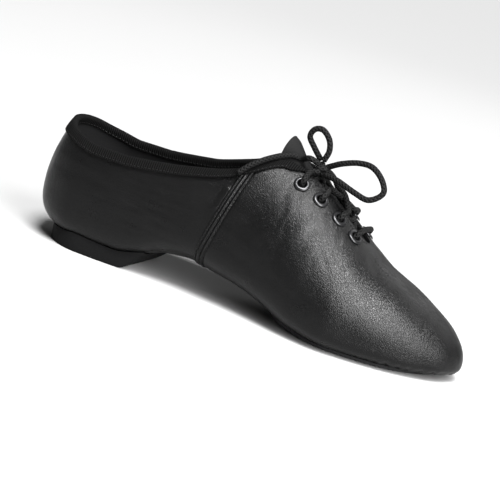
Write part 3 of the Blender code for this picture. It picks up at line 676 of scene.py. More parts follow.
HAND_STROKES = [
    (on_top, ((150, 12.5), (146, 24)), 1.3, -0.22), (on_top, ((155, 11), (154, 25)), 1.1, -0.25),
    (on_top, ((157, 14), (150, 34)), 1.8, 0.20), (on_top, ((166, 10), (168, 26)), 1.2, -0.25),
    (on_top, ((169, 12), (160, 36)), 2.2, 0.16), (on_top, ((178, 9), (183, 24)), 1.2, -0.22),
    (on_top, ((181, 12), (172, 34)), 2.4, 0.15), (on_top, ((188, 8), (197, 22)), 1.4, -0.20),
    (on_top, ((146, 20), (158, 33)), 1.0, -0.14), (on_top, ((172, 27), (186, 33)), 1.2, -0.16),
    (on_top, ((176, 23), (193, 30)), 1.0, -0.14), (on_top, ((186, 27), (204, 33)), 1.2, -0.12),
    (on_top, ((196, 9), (206, 17)), 2.2, -0.16), (on_top, ((143, 30), (160, 36)), 1.6, 0.12),
    (on_side, ((58, 46), (92, 43)), 1.3, -0.12), (on_side, ((62, 42), (98, 38)), 1.2, -0.13),
    (on_side, ((54, 38), (86, 36)), 1.4, -0.10), (on_side, ((70, 35), (101, 32)), 1.2, -0.12),
    (on_side, ((66, 51), (100, 48)), 1.2, -0.10), (on_side, ((60, 30), (95, 27)), 1.6, -0.10),
    (on_side, ((20, 52), (58, 48)), 2.2, 0.10), (on_side, ((26, 44), (60, 42)), 2.4, -0.10),
    (on_side, ((120, 44), (150, 36)), 2.2, 0.14), (on_side, ((122, 36), (150, 28)), 1.6, -0.14),
    (on_side, ((124, 54), (144, 50)), 1.4, -0.12), (on_side, ((150, 30), (182, 20)), 2.2, -0.14),
]


def hand_strokes(side):
    return [(kind, side, ends, wide, deep) for kind, ends, wide, deep in HAND_STROKES]


def scattered_strokes():
    """Finer wrinkles in the quarters and on the inner side, placed by a seeded draw."""
    draw = np.random.default_rng(7)
    found = []
    for side in SIDES:
        for _ in range(34):
            x, z, run = draw.uniform(48, 96), draw.uniform(24, 55), draw.uniform(8, 22)
            found.append((on_side, side, ((x, z), (min(x + run, 107), z - run * draw.uniform(0.0, 0.12))),
                          draw.uniform(0.7, 1.1), -draw.uniform(0.05, 0.11)))
        for _ in range(26):
            x, out, run = draw.uniform(146, 186), draw.uniform(10, 30), draw.uniform(4, 9)
            found.append((on_top, side, ((x, out), (x + draw.uniform(-3, 3), out + run)),
                          draw.uniform(0.6, 1.0), -draw.uniform(0.06, 0.13)))
    return found


STROKES = [stroke(*row) for row in hand_strokes("outer") + scattered_strokes() + hand_strokes("inner")]
print("strokes:", len(STROKES))


# %% Small heights of the leather
SEAM_ROWS = (0.9, 3.3, 5.7)
SEAM_GROOVE = 0.55
SEAM_GROOVE_DEPTH = 0.42
SEAM_RIDGES = ((4.5, 0.5, 0.55), (2.1, 0.6, 0.30), (0.0, 0.4, 0.15))
TAB_HEIGHT = 0.5 * MM
ARCH_ROW_OUT = 2.7
ARCH_ROWS = (0.0, ARCH_ROW_OUT)
ARCH_GROOVE = 0.5
ARCH_GROOVE_DEPTH = 0.22
PLEAT_PITCH = 6.6 * MM
PLEAT_HEIGHT = 1.2
PLEAT_START_X = 208 * MM
UNEVEN = ((55, 0.16), (130, 0.07))


def bell(value, middle, half):
    return np.exp(-((value - middle) / half) ** 2)


def toe_distance(u, side):
    """Distance along the shoe's outline from the tip of the toe."""
    fine = np.linspace(0, 1, 2001)
    outline = np.stack([column("edge", fine) * LENGTH, column(side, fine) * BALL_WIDTH], 1)
    steps = np.linalg.norm(np.diff(outline, axis=0), axis=1)
    from_tip = np.concatenate([np.cumsum(steps[::-1])[::-1], [0]])
    return np.interp(u, fine, from_tip)


def pleats(u, side, phi):
    """Gathers from the patch's edge out to the shoe's outline, all round the toe."""
    share = np.sin(np.minimum(phi, math.pi / 2)) ** (2 / column("low", u))
    patch = column("patch_out" if side == "outer" else "patch_in", u)
    there = ramp(share, patch - 0.02, patch + 0.10) * (1 - ramp(share, 0.93, 1.0)) * (phi < math.pi / 2)
    there = there * ramp(spine_x(u), PLEAT_START_X, PLEAT_START_X + 8 * MM)
    along = toe_distance(u, side) / PLEAT_PITCH
    fold = np.abs(np.sin(math.pi * (along + 0.12 * np.sin(along * 2.3)))) ** 0.5
    return there * (fold - 0.75) * PLEAT_HEIGHT * MM


def small_heights(u, side, phi, points):
    """Everything that stands proud of the last, or sinks in, in metres."""
    s = (spine_x(u) - SEAM_X) / MM
    out = np.zeros(u.shape)
    for row in SEAM_ROWS:
        out -= bell(s, row, SEAM_GROOVE) * SEAM_GROOVE_DEPTH * MM
    out += sum(bell(s, middle, half) * high * MM for middle, half, high in SEAM_RIDGES)
    tab = ramp(s, -3.4, -3.0) * (1 - ramp(s, -1.2, -0.8)) * ramp(points[..., 2], 51 * MM, 52 * MM)
    out += tab * (1 - ramp(points[..., 2], 64 * MM, 65 * MM)) * (TAB_HEIGHT if side == "outer" else 0.0)
    under = (phi < 1.2) & (points[..., 2] < 22 * MM)
    arch = ramp(spine_x(u), 74 * MM, 78 * MM) * (1 - ramp(spine_x(u), 152 * MM, 156 * MM)) * under
    for row in ARCH_ROWS:
        out -= arch * bell(np.abs(points[..., 1]) / MM, row, ARCH_GROOVE) * ARCH_GROOVE_DEPTH * MM
    out += pleats(u, side, phi)
    flat = points.reshape(-1, 3)
    heights = np.zeros(len(flat))
    for line, wide, deep in STROKES:
        low, high = line.min(0) - 3 * wide, line.max(0) + 3 * wide
        near = np.nonzero(np.all((flat > low) & (flat < high), axis=1))[0]
        if len(near):
            away = np.linalg.norm(flat[near, None, :] - line[None, :, :], axis=2)
            k = away.argmin(axis=1)
            taper = np.sin(math.pi * (k + 0.5) / len(line)) ** 0.6
            heights[near] += deep * taper * np.exp(-(away.min(axis=1) / wide) ** 2)
    uneven = np.array([sum(noise.noise(Vector(p) * scale) * high for scale, high in UNEVEN) for p in flat])
    return out + (heights + uneven * MM).reshape(u.shape)


def flex_of(u, side, points):
    """Where the leather bends most and shows the finest wrinkles, from 0 to 1."""
    x, z = points[..., 0] / MM, points[..., 2] / MM
    quarter = bell(x, 76, 34) * bell(z, 44, 15) * 0.75
    facings = bell(x, 168, 22) * ramp(z, 26, 46) * 0.22
    ball = bell(x, 190, 16) * bell(z, 26, 12) * 0.15
    return np.clip(quarter + facings + ball + 0.04, 0, 1)


# %% Build the upper
UPPER_COUNT = 68


def upper_side(u, side):
    """One side's outer face, inner face and flex, from its lower edge up to the collar."""
    phis = even_phis(u, side, phi_at_reach(u, hole_share(u), True), collar_phi(u, side), UPPER_COUNT)
    wide_u = np.repeat(u[:, None], phis.shape[1], 1)
    base = last_point(wide_u, side, phis)
    step = seam_step(wide_u)
    return (skin(wide_u, side, phis, step + small_heights(wide_u, side, phis, base)),
            skin(wide_u, side, phis, step - WALL), flex_of(wide_u, side, base))


def build_upper():
    u = fine_stations(0, 1, 1.5 * MM, finer=[(SEAM_X - 1.2 * MM, SEAM_X + 7 * MM, 0.42 * MM),
                                            (THROAT_X - 5 * MM, THROAT_X + 0.6 * MM, 0.6 * MM),
                                            (222 * MM, 260 * MM, 1.0 * MM)])
    near, far, flex = (np.concatenate([outer[:, ::-1], inner], 1)
                       for outer, inner in zip(*[upper_side(u, side) for side in SIDES]))
    return closed_loft("upper_leather", near, far, skip=UPPER_COUNT, values={"flex": flex})


upper = build_upper()
for finish in (vamp_leather, lining_cloth):
    upper.data.materials.append(finish)

# %% [markdown]
# ## Eyelets and their holes
# A punched hole and a rolled metal ring for each of the eight eyelets. A torus would be quick, but an
# eyelet has a flat flange, a rolled lip and a short barrel, so its section is drawn and turned once, and
# the copies are set square to the leather. The holes are cut in one go by eight joined cylinders.

# %% Eyelet places
EYELET_X = (152.2 * MM, 164 * MM, 176 * MM, 186.4 * MM)
EYELET_OUT = (15 * MM, 13.9 * MM, 11.9 * MM, 10.2 * MM)
HOLE_RADIUS = 3.1 * MM
HOLE_DEPTH = 9 * MM


def eyelet_place(k, side):
    u = station(EYELET_X[k])
    point, normal, _ = frame_at(u, side, phi_out(u, side, EYELET_OUT[k]))
    return Vector(point + normal * seam_step(u) + ROOT), Vector(normal)


def punch_holes():
    bpy.ops.object.select_all(action="DESELECT")
    punches = []
    for side in SIDES:
        for k in range(len(EYELET_X)):
            place, normal = eyelet_place(k, side)
            bpy.ops.mesh.primitive_cylinder_add(vertices=24, radius=HOLE_RADIUS, depth=HOLE_DEPTH,
                                                location=place,
                                                rotation=normal.to_track_quat("Z", "Y").to_euler())
            punches.append(bpy.context.object)
    for punch in punches:
        punch.select_set(True)
    bpy.context.view_layer.objects.active = punches[0]
    bpy.ops.object.join()
    cutter = bpy.context.object
    cut = upper.modifiers.new("punch", "BOOLEAN")
    cut.operation = "DIFFERENCE"
    cut.solver = "EXACT"
    cut.object = cutter
    only(upper)
    bpy.ops.object.modifier_apply(modifier=cut.name)
    bpy.data.objects.remove(cutter)
    print("upper with holes:", len(upper.data.polygons), "faces")


punch_holes()
sharpen(upper, 50)
finish_piece(upper, "leather", "upper")

# %% Rings
RING_PROFILE = [(2.35, -1.9), (2.35, 0.55), (2.5, 0.95), (2.8, 1.17), (3.2, 1.22), (3.7, 1.12), (4.15, 0.88),
                (4.4, 0.58), (4.45, 0.32), (4.2, 0.30), (2.85, 0.30), (2.85, -1.9)]


def build_ring():
    mesh = bpy.data.meshes.new("ring")
    count = len(RING_PROFILE)
    mesh.from_pydata([(r * MM, 0, z * MM) for r, z in RING_PROFILE],
                     [(k, (k + 1) % count) for k in range(count)], [])
    ring = as_object("ring", mesh)
    only(ring)
    bpy.ops.object.mode_set(mode="EDIT")
    bpy.ops.mesh.select_all(action="SELECT")
    bpy.ops.mesh.spin(steps=40, angle=2 * math.pi, center=(0, 0, 0), axis=(0, 0, 1))
    bpy.ops.mesh.select_all(action="SELECT")
    bpy.ops.mesh.remove_doubles(threshold=0.00001)
    bpy.ops.mesh.normals_make_consistent(inside=False)
    bpy.ops.object.mode_set(mode="OBJECT")
    return ring


pattern_ring = build_ring()
for side in SIDES:
    for k in range(len(EYELET_X)):
        place, normal = eyelet_place(k, side)
        mesh = pattern_ring.data.copy()
        mesh.transform(Matrix.Translation(place) @ normal.to_track_quat("Z", "Y").to_matrix().to_4x4())
        mesh.shade_smooth()
        dress(as_object(f"ring_{side}_{k + 1}", mesh), black_metal, "black_metal",
              f"eyelet_{side}_{k + 1}", crisp=45)
bpy.data.objects.remove(pattern_ring)
print("rings: 8")

# %% [markdown]
# ## Soles, insole and strip
# The heel pad is a rubber slab with a sloped breast, the suede patch a thin sheet under the ball and toes,
# and the insole a padded sheet inside. They could be flat outlines pushed up to the shoe, but the underside
# is curved, so each is a loft between two grids that follow the last's skin at their own distances. They
# fit it without cutting.

# %% Heel pad
SOLE_CRISP = 40


def under_grid(u, side, reach, count):
    """Rib and phi of points from the middle line under the shoe out to a share of each rib."""
    phis = even_phis(u, side, np.zeros(len(u)), phi_at_reach(u, reach, True), count)
    return np.repeat(u[:, None], phis.shape[1], 1), phis


def across(name, sides):
    """A piece that runs from edge to edge under the shoe, from the two faces of each side."""
    near, far = (np.concatenate([outer[:, ::-1], inner[:, 1:]], 1) for outer, inner in zip(*sides))
    return closed_loft(name, near, far)


HEEL_HALF = 26.8 * MM
HEEL_BACK = 12 * MM
HEEL_FLAT_X = 66.5 * MM
HEEL_BREAST_X = 78 * MM
HEEL_LIP = 1.2 * MM
HEEL_INSET = 0.985


def heel_reach(u, side):
    """Share of the rib that the pad's outline reaches."""
    foot = np.stack([spine_x(u), column("centre", u) * BALL_WIDTH], 1)
    edge = np.stack([column("edge", u) * LENGTH, column(side, u) * BALL_WIDTH], 1)
    centre = HEEL_BACK + HEEL_HALF
    low, high = np.zeros(len(u)), np.ones(len(u))
    for _ in range(30):
        middle = (low + high) / 2
        point = foot + (edge - foot) * middle[:, None]
        narrow = 0.16 * ((point[:, 0] - centre) / (HEEL_BREAST_X - centre)) ** 2
        inside = np.where(point[:, 0] < centre, np.hypot(point[:, 0] - centre, point[:, 1]) < HEEL_HALF,
                          np.abs(point[:, 1]) < HEEL_HALF * (1 - narrow))
        low, high = np.where(inside, middle, low), np.where(inside, high, middle)
    return low


def heel_side(u, side):
    wide_u, phis = under_grid(u, side, heel_reach(u, side), 22)
    top = skin(wide_u, side, phis, np.full(phis.shape, GAP))
    slope = np.clip((top[..., 0] - HEEL_FLAT_X) / (HEEL_BREAST_X - HEEL_FLAT_X), 0, 1)
    foot = np.stack([spine_x(wide_u), column("centre", wide_u) * BALL_WIDTH], -1)
    inset = foot + (top[..., :2] - foot) * HEEL_INSET
    return top, np.concatenate([inset, (slope * (top[..., 2] - HEEL_LIP))[..., None]], axis=-1)


heel_u = fine_stations(0, float(station(HEEL_BREAST_X)), 1.6 * MM)
heel = across("heel_pad", [heel_side(heel_u, side) for side in SIDES])
dress(heel, heel_rubber, "heel_rubber", "heel", bevel=0.5 * MM, crisp=SOLE_CRISP)

# %% Suede patch
PATCH_X = 153 * MM
PATCH_THICK = 1.5 * MM


def patch_reach(u, side):
    x = spine_x(u)
    back = np.sqrt(np.clip(1 - (1 - np.clip((x - PATCH_X) / (14 * MM), 0, 1)) ** 2, 0, 1))
    share = column("patch_out" if side == "outer" else "patch_in", u)
    return np.maximum(share, np.where(x < 172 * MM, 0.70, 0)) * back


def patch_side(u, side):
    wide_u, phis = under_grid(u, side, patch_reach(u, side), 26)
    top = skin(wide_u, side, phis, np.full(phis.shape, SEAM_STEP + GAP))
    low = skin(wide_u, side, phis, np.full(phis.shape, SEAM_STEP + GAP + PATCH_THICK))
    low[..., 2] = np.maximum(low[..., 2], 0)
    return top, low


patch_u = fine_stations(float(station(PATCH_X + 0.15 * MM)), 1, 1.7 * MM,
                        finer=[(PATCH_X, PATCH_X + 4 * MM, 0.6 * MM)])
patch = across("suede_patch", [patch_side(patch_u, side) for side in SIDES])
dress(patch, suede, "suede", "forefoot_sole", bevel=0.35 * MM, crisp=SOLE_CRISP)

# %% Insole and back strip
INSOLE_THICK = 2.0 * MM
INSOLE_GAP = 0.6 * MM
INSOLE_SHARE = 0.79


def insole_side(u, side):
    wide_u, phis = under_grid(u, side, np.full(len(u), INSOLE_SHARE), 16)
    low = skin(wide_u, side, phis, np.full(phis.shape, -WALL - INSOLE_GAP))
    return low, low + np.array((0, 0, INSOLE_THICK))


insole_u = fine_stations(0, 1, 2.2 * MM)
insole = across("insole_cloth", [insole_side(insole_u, side) for side in SIDES])
dress(insole, insole_cloth, "lining", "insole", bevel=0.5 * MM, crisp=SOLE_CRISP)

STRIP_TOP, STRIP_FOOT = 55.5, 25
STRIP_HALF_TOP, STRIP_HALF_FOOT = 2.6, 1.0
STRIP_PROUD = 1.3
STRIP_POINTS = 40


def build_back_strip():
    z = np.linspace(STRIP_TOP, STRIP_FOOT, STRIP_POINTS) * MM
    share = np.linspace(0, 1, STRIP_POINTS)
    half = (STRIP_HALF_TOP + (STRIP_HALF_FOOT - STRIP_HALF_TOP) * share) * MM
    per_u = np.linalg.norm(last_point(np.array(0.012), "inner", np.array(math.pi / 2))
                           - last_point(np.array(0.0), "inner", np.array(math.pi / 2))) / 0.012
    near, far = [], []
    for side, parts in (("outer", (1, 0.75, 0.5, 0.25)), ("inner", (0, 0.25, 0.5, 0.75, 1))):
        for part in parts:
            u = half * part / per_u
            phi = phi_at_height(u, z)
            proud = GAP + STRIP_PROUD * MM * (1 - 0.45 * share) * (1 - 0.35 * part ** 4)
            near.append(skin(u, side, phi, proud))
            far.append(skin(u, side, phi, np.full(STRIP_POINTS, GAP * 0.3)))
    return closed_loft("heel_strip", np.stack(near, 1), np.stack(far, 1))


dress(build_back_strip(), strip_leather, "leather", "back_strip")

# %% [markdown]
# ## Tongue
# A soft padded flap that lies under the facings and stands up a little above the collar. It could be a bent
# plane, but it has to clear the facings and the tape on both sides, so each of its points is set from the
# last's skin, inside the wall, and lifted only where nothing lies over it. Two sizes of noise crease it.

# %% Tongue
TONGUE_TOP_X = 131 * MM
TONGUE_END_X = 199 * MM
TONGUE_LIFT = 10.4
TONGUE_LIFT_END_X = 157 * MM
TONGUE_HALF, TONGUE_TAPER = 20, 7
TONGUE_FREE_HALF = 11.5 * MM
TONGUE_SQUARE = 0.28
TONGUE_THICK = 1.6 * MM
TONGUE_CREASES = ((0.25 * MM, 160), (0.12 * MM, 400))
TAPE_THICK = 0.8 * MM
TAPE_GAP = 0.45 * MM


def leaning_station(x, out, side):
    crest_z = last_point(station(x), side, np.array(math.pi))[2]
    u = station(x)
    for _ in range(3):
        drop = crest_z - last_point(u, side, phi_out(u, side, out))[2]
        lean = 0.7 * (1 - ramp(x, TONGUE_TOP_X, TONGUE_END_X))
        u = station(x - lean * max(drop, 0.0))
    return u


def build_tongue():
    near, far = [], []
    for x in np.linspace(TONGUE_TOP_X, TONGUE_END_X, 48):
        share = (x - TONGUE_TOP_X) / (TONGUE_END_X - TONGUE_TOP_X)
        lift = TONGUE_LIFT * MM * (1 - ramp(x, TONGUE_TOP_X + 6 * MM, TONGUE_LIFT_END_X))
        tape = (TAPE_THICK + TAPE_GAP + GAP) * (1 - ramp(x, CORNER_X + 1 * MM, CORNER_X + 9 * MM))
        half = (TONGUE_HALF - TONGUE_TAPER * share) * MM
        half *= 1 - 0.25 * (1 - np.clip((x - TONGUE_TOP_X) / (6 * MM), 0, 1)) ** 2
        between = throat_half(x) - GAP
        free_half = between + (TONGUE_FREE_HALF - between) * (1 - ramp(x, CORNER_X - 14 * MM, CORNER_X))
        near_row, far_row = [], []
        for side in SIDES:
            reach = np.linspace(0, half, 16)
            reach = reach[::-1] if side == "outer" else reach[1:]
            for out in reach:
                spot = leaning_station(x, out, side)
                free = max(0.0, 1 - (out / free_half) ** 2) ** TONGUE_SQUARE
                rise = np.array((0, 0, lift * free))
                inside = seam_step(spot) - WALL - 2 * GAP - tape
                point, normal, _ = frame_at(spot, side, phi_out(spot, side, out))
                crease = sum(deep * noise.noise(Vector(point) * scale) for deep, scale in TONGUE_CREASES)
                near_row.append(point + normal * (inside + crease * (0.3 + 0.7 * free)) + rise)
                far_row.append(point + normal * (inside - TONGUE_THICK) + rise)
        near.append(near_row)
        far.append(far_row)
    return closed_loft("tongue_leather", np.array(near), np.array(far))


dress(build_tongue(), tongue_leather, "leather", "tongue", bevel=0.4 * MM, crisp=40)

# %% [markdown]
# ## Collar binding
# Ribbed tape folded over the collar's edge and sewn near its lower edge. A curve with a bevel would twist
# at the corners of the collar, so one section is laid square to the edge at every rib instead. The ribs of
# the cloth follow a map of the piece's own, in metres along and across the tape, and so keep their pitch
# round every bend.

# %% Binding
TAPE_OUTSIDE = 4.6 * MM
TAPE_INSIDE = 4 * MM
TAPE_BACK_EXTRA = 3.4 * MM
TAPE_END_X = 151.5 * MM
TAPE_BULGE = 0.15 * MM


def tape_depth(u):
    """How far the tape reaches down outside: deeper behind the heel, narrow beside the first eyelet."""
    deep = TAPE_OUTSIDE + TAPE_BACK_EXTRA * np.exp(-((u / 0.07) ** 2))
    return deep * (1 - 0.62 * ramp(spine_x(u), 141 * MM, TAPE_END_X))


def edge_point(u, side, out, down):
    """A point near the upper's top edge: out from the leather and down from the edge, or up past it."""
    phi = collar_phi(u, side)
    per_phi = np.linalg.norm(last_point(u, side, phi) - last_point(u, side, phi - 0.01), axis=-1) / 0.01
    below = skin(u, side, phi - np.maximum(down, 0) / per_phi, out + seam_step(u))
    point, normal, rising = frame_at(u, side, phi)
    above = point + normal * np.asarray(out + seam_step(u))[..., None] - rising * np.asarray(down)[..., None]
    return np.where(np.asarray(down >= 0)[..., None], below, above)


def tape_profile(deep, thick, bulge):
    """From the lower outside edge over the top and down inside, as out and down for every rib."""
    inner_face = -WALL - thick
    rows = [(0 * deep + thick, deep * t) for t in (1, 0.8, 0.6, 0.4, 0.2)]
    rows = [(out + bulge * math.sin(math.pi * min(1, k / 5 + 0.1)), down)
            for k, (out, down) in enumerate(rows)]
    middle, half = (thick + inner_face) / 2, (thick - inner_face) / 2
    for angle in np.radians((15, 45, 75, 105, 135, 165)):
        rows.append((0 * deep + middle + half * math.cos(angle), 0 * deep - thick * math.sin(angle)))
    rows += [(0 * deep + inner_face, 0 * deep + TAPE_INSIDE * t) for t in (0.25, 0.5, 0.75, 1)]
    return rows


def build_binding():
    u = fine_stations(0, float(station(TAPE_END_X)), 0.9 * MM)
    near, far = [], []
    for side in SIDES:
        line = u[::-1] if side == "outer" else u[1:]
        deep = tape_depth(line)
        outline = tape_profile(deep, TAPE_GAP + TAPE_THICK, TAPE_BULGE)
        lining = tape_profile(deep, TAPE_GAP, 0)
        near.append(np.stack([edge_point(line, side, out, down) for out, down in outline], 1))
        far.append(np.stack([edge_point(line, side, out, down) for out, down in lining], 1))
    near, far = np.concatenate(near), np.concatenate(far)
    along = arc(near[:, 6])
    over_it = np.concatenate([np.zeros((len(near), 1)),
                              np.cumsum(np.linalg.norm(np.diff(near, axis=1), axis=2), axis=1)], 1)
    places = np.stack([np.repeat(along[:, None], near.shape[1], 1), over_it, 0 * over_it], -1)
    made = closed_loft("ribbed_binding", near, far, values={"map_place": places})
    layer = made.data.uv_layers.new(name="map")
    stored = np.empty(len(made.data.vertices) * 3, np.float32)
    made.data.attributes["map_place"].data.foreach_get("vector", stored)
    corners = np.empty(len(made.data.loops), np.int32)
    made.data.loops.foreach_get("vertex_index", corners)
    layer.data.foreach_set("uv", stored.reshape(-1, 3)[corners, :2].ravel())
    return made


dress(build_binding(), tape_cloth, "ribbed_tape", "collar_binding", crisp=60)

# %% [markdown]
# ## Lace
# Round braided cord, tied in a bow. The bars come up out of one eyelet and go down another, and the bow's
# loops stand free above the knot. A bevelled curve would do for the shape, but the braid needs a map that
# counts turns and diameters, so a tube is made in code along a smooth line through a few points.

# %% Cord as a tube
CORD_RADIUS = 1.6 * MM
CORD_SIDES = 14
CORD_STEP = 0.75 * MM
BAR_OVER_LEATHER = CORD_RADIUS + 0.6 * MM
UNDER_RADIUS = 1.35 * MM


def flowing(points, step):
    """Evenly spaced points on a smooth curve through the given ones."""
    p = np.asarray(points, float)
    ends = np.concatenate([[2 * p[0] - p[1]], p, [2 * p[-1] - p[-2]]])
    t = np.linspace(0, 1, 24, endpoint=False)[:, None]
    fine = [0.5 * (2 * b + (c - a) * t + (2 * a - 5 * b + 4 * c - d) * t ** 2
                   + (3 * b - a - 3 * c + d) * t ** 3)
            for a, b, c, d in zip(ends, ends[1:], ends[2:], ends[3:])]
    fine = np.concatenate(fine + [p[-1:]])
    lengths = arc(fine)
    count = max(3, int(round(lengths[-1] / step)))
    goals = np.linspace(0, lengths[-1], count + 1)
    return np.stack([np.interp(goals, lengths, fine[:, k]) for k in range(3)], 1)


def tube(name, points, *nodes, radius=CORD_RADIUS, ends=1.0):
    """A cord along the points with its own map of turns and diameters. ends thins both tips to that share."""
    line, sides = flowing(points, CORD_STEP), CORD_SIDES
    tangents = unit(np.gradient(line, axis=0))
    across = unit(np.cross(tangents[0], (0.3, 0.2, 0.9)))
    lengths = arc(line)
    angles = np.linspace(0, 2 * math.pi, sides, endpoint=False)
    work, loops = [], []
    for k, (spot, way) in enumerate(zip(line, tangents)):
        across = unit(across - way * np.dot(across, way))
        up = np.cross(way, across)
        near_end = min(lengths[k], lengths[-1] - lengths[k]) / (2 * radius)
        r = radius * (ends + (1 - ends) * min(1.0, near_end))
        work.append(spot + r * (np.cos(angles)[:, None] * across + np.sin(angles)[:, None] * up))
    count = len(line)
    faces = [[k * sides + j, k * sides + (j + 1) % sides,
              (k + 1) * sides + (j + 1) % sides, (k + 1) * sides + j]
             for k in range(count - 1) for j in range(sides)]
    caps = [list(range(sides))[::-1], [(count - 1) * sides + j for j in range(sides)]]
    mesh = bpy.data.meshes.new(name)
    mesh.from_pydata(np.concatenate(work).tolist(), [], faces + caps)
    layer = mesh.uv_layers.new(name="map")
    for k in range(count - 1):
        for j in range(sides):
            a, b = lengths[k] / (2 * radius), lengths[k + 1] / (2 * radius)
            loops += [(a, j / sides), (a, (j + 1) / sides), (b, (j + 1) / sides), (b, j / sides)]
    loops += [(0.0, 0.0)] * (2 * sides)
    layer.data.foreach_set("uv", np.array(loops, np.float32).ravel())
    mesh.materials.append(lace_braid)
    mesh.shade_smooth()
    print(name, "length", round(float(lengths[-1]) * 1000, 1), "mm")
    return finish_piece(as_object(name, mesh), "cord", *nodes), line, float(lengths[-1])


# %% Bars and crossings
def over(k, side, out, height):
    """A point beside eyelet k: out from the eyelet's place along its rib, and up from the leather."""
    u = station(EYELET_X[k])
    return skin(u, side, phi_out(u, side, EYELET_OUT[k] + out), seam_step(u) + height) + ROOT


def crest(x, height):
    return skin(station(x), "inner", np.array(math.pi), np.array(SEAM_STEP + height)) + ROOT


def out_of_hole(k, side):
    """The cord's first points, up through an eyelet and over its rim."""
    place, normal = eyelet_place(k, side)
    place, normal = np.array(place), np.array(normal)
    return [place - normal * 3.2 * MM, place + normal * 0.4 * MM, over(k, side, -1.4 * MM, 2.9 * MM),
            over(k, side, -4.2 * MM, BAR_OVER_LEATHER + 0.5 * MM)]


def build_bars():
    low = BAR_OVER_LEATHER
    middle = (EYELET_X[1] + EYELET_X[2]) / 2
    points = out_of_hole(3, "outer") + [over(3, "outer", -8 * MM, low), crest(EYELET_X[3], low),
                                        over(3, "inner", -8 * MM, low)] + out_of_hole(3, "inner")[::-1]
    tube("bar_low", points, "lace_bar")
    for number, (near, away, lift) in enumerate((("outer", "inner", 1.4), ("inner", "outer", -0.3)), 1):
        points = out_of_hole(2, near) + [over(2, near, -7.5 * MM, low), crest(middle, low + lift * MM),
                                         over(1, away, -7.5 * MM, low)] + out_of_hole(1, away)[::-1]
        tube(f"cross_{number}", points, "lace_cross")


def beside(x, side, share, height):
    """A point at x, out from the crest by a share of the gap's half width."""
    u = station(x)
    return skin(u, side, phi_out(u, side, throat_half(spine_x(u)) * share), seam_step(u) + height) + ROOT


def build_under_crossings():
    """Lengths that cross over the tongue and under the facings, seen only in the throat."""
    for a, b in ((3, 2), (1, 0)):
        for number, (near, away) in enumerate((("outer", "inner"), ("inner", "outer")), 1):
            x = (EYELET_X[a] + EYELET_X[b]) / 2
            first, second = 0.3 * EYELET_X[b] + 0.7 * EYELET_X[a], 0.7 * EYELET_X[b] + 0.3 * EYELET_X[a]
            points = [beside(first, near, 1.5, -1.7 * MM), beside(first, near, 0.8, -0.9 * MM),
                      crest(x, (-0.8 + 0.9 * (number - 1)) * MM),
                      beside(second, away, 0.8, -0.9 * MM), beside(second, away, 1.5, -1.7 * MM)]
            tube(f"under_{a}_{number}", points, radius=UNDER_RADIUS, ends=0.75)


build_bars()
build_under_crossings()

# %% The bow
KNOT = [(158.6, -4.4, 82.9), (157.9, -3.7, 85.9), (155.8, -1, 88.2), (154.8, 1.8, 86.4), (154.6, 3.2, 83.8)]
KNOT_WRAP = [(154, -4.6, 84.8), (156.4, -5.9, 86.6), (159.2, -4.4, 86.6), (160, -0.6, 85.4), (158.2, 2.2, 83.4)]
SMALL_LOOP = [(156.3, -2.1, 90.4), (157.9, -2.6, 96.3), (156.4, -3.2, 102.1), (151.8, -3.6, 106.1),
              (147.2, -3.4, 105.1), (145.3, -2.6, 100.4), (148.9, -0.6, 95), (154, 0.6, 89.5)]
LARGE_LOOP = [(159.6, -3, 87.9), (167.5, -6, 92.6), (177, -7.5, 96.2), (185.5, -9.2, 96.6), (192.8, -11, 92),
              (195.5, -12, 85.8), (189.3, -13, 80.4), (180.5, -12, 81.4), (169.5, -9.6, 83.9),
              (160.5, -5.6, 84)]
INNER_END = [(156.6, 5, 84.9), (158.3, 10.5, 82.6), (160, 16.5, 78.6), (162, 21.8, 72.3), (164.5, 27, 66)]
OUTER_END = [(155.4, -5.4, 88.4), (150.6, -7.8, 90.2)]
OUTER_END_ON_COLLAR = [(144, 1, -6), (137, 1, -5), (130, 1.4, -4.1), (124, 2.3, -3.1), (119, 3.1, -1.9),
                       (115, 3.6, 0.2), (112, 3.6, 3.4)]
RISE_TOP = {"outer": (157.4, -6.5, 84.7), "inner": (153.3, 5.5, 84.9)}


def places(rows):
    return [np.array(row) * MM + ROOT for row in rows]


def build_bow():
    tube("knot", places(KNOT), "lace_knot")
    tube("knot_wrap", places(KNOT_WRAP))
    for side in SIDES:
        points = out_of_hole(0, side)[:3] + [over(0, side, -6.5 * MM, BAR_OVER_LEATHER + GAP)]
        tube(f"rise_{side}", points + places([RISE_TOP[side]]), f"lace_rise_{side}")
    resting = [edge_point(station(x * MM), "outer", out * MM, down * MM) + ROOT
               for x, out, down in OUTER_END_ON_COLLAR]
    for name, points, far_end in (("loop_small", places(SMALL_LOOP), "object"),
                                  ("loop_large", places(LARGE_LOOP), "object"),
                                  ("end_inner", places(INNER_END), "bare"),
                                  ("end_outer", places(OUTER_END) + resting, "bare")):
        made, line, length = tube(f"bow_{name}", points, f"lace_{name}")


build_bow()

# %% [markdown]
# ## Stitches
# The sewing in black thread. A texture of stitches would be flat and need an image, so each stitch is one
# small bead, modelled once, and a row lays copies along a line on the leather. All stitches of a seam are
# one piece.

# %% Stitch rows
def stitch_template():
    bpy.ops.object.select_all(action="DESELECT")
    bpy.ops.mesh.primitive_uv_sphere_add(segments=8, ring_count=4, radius=1)
    ball = bpy.context.object
    points = np.array([v.co for v in ball.data.vertices])
    faces = [list(p.vertices) for p in ball.data.polygons]
    bpy.data.objects.remove(ball)
    return points, faces


BEAD_POINTS, BEAD_FACES = stitch_template()


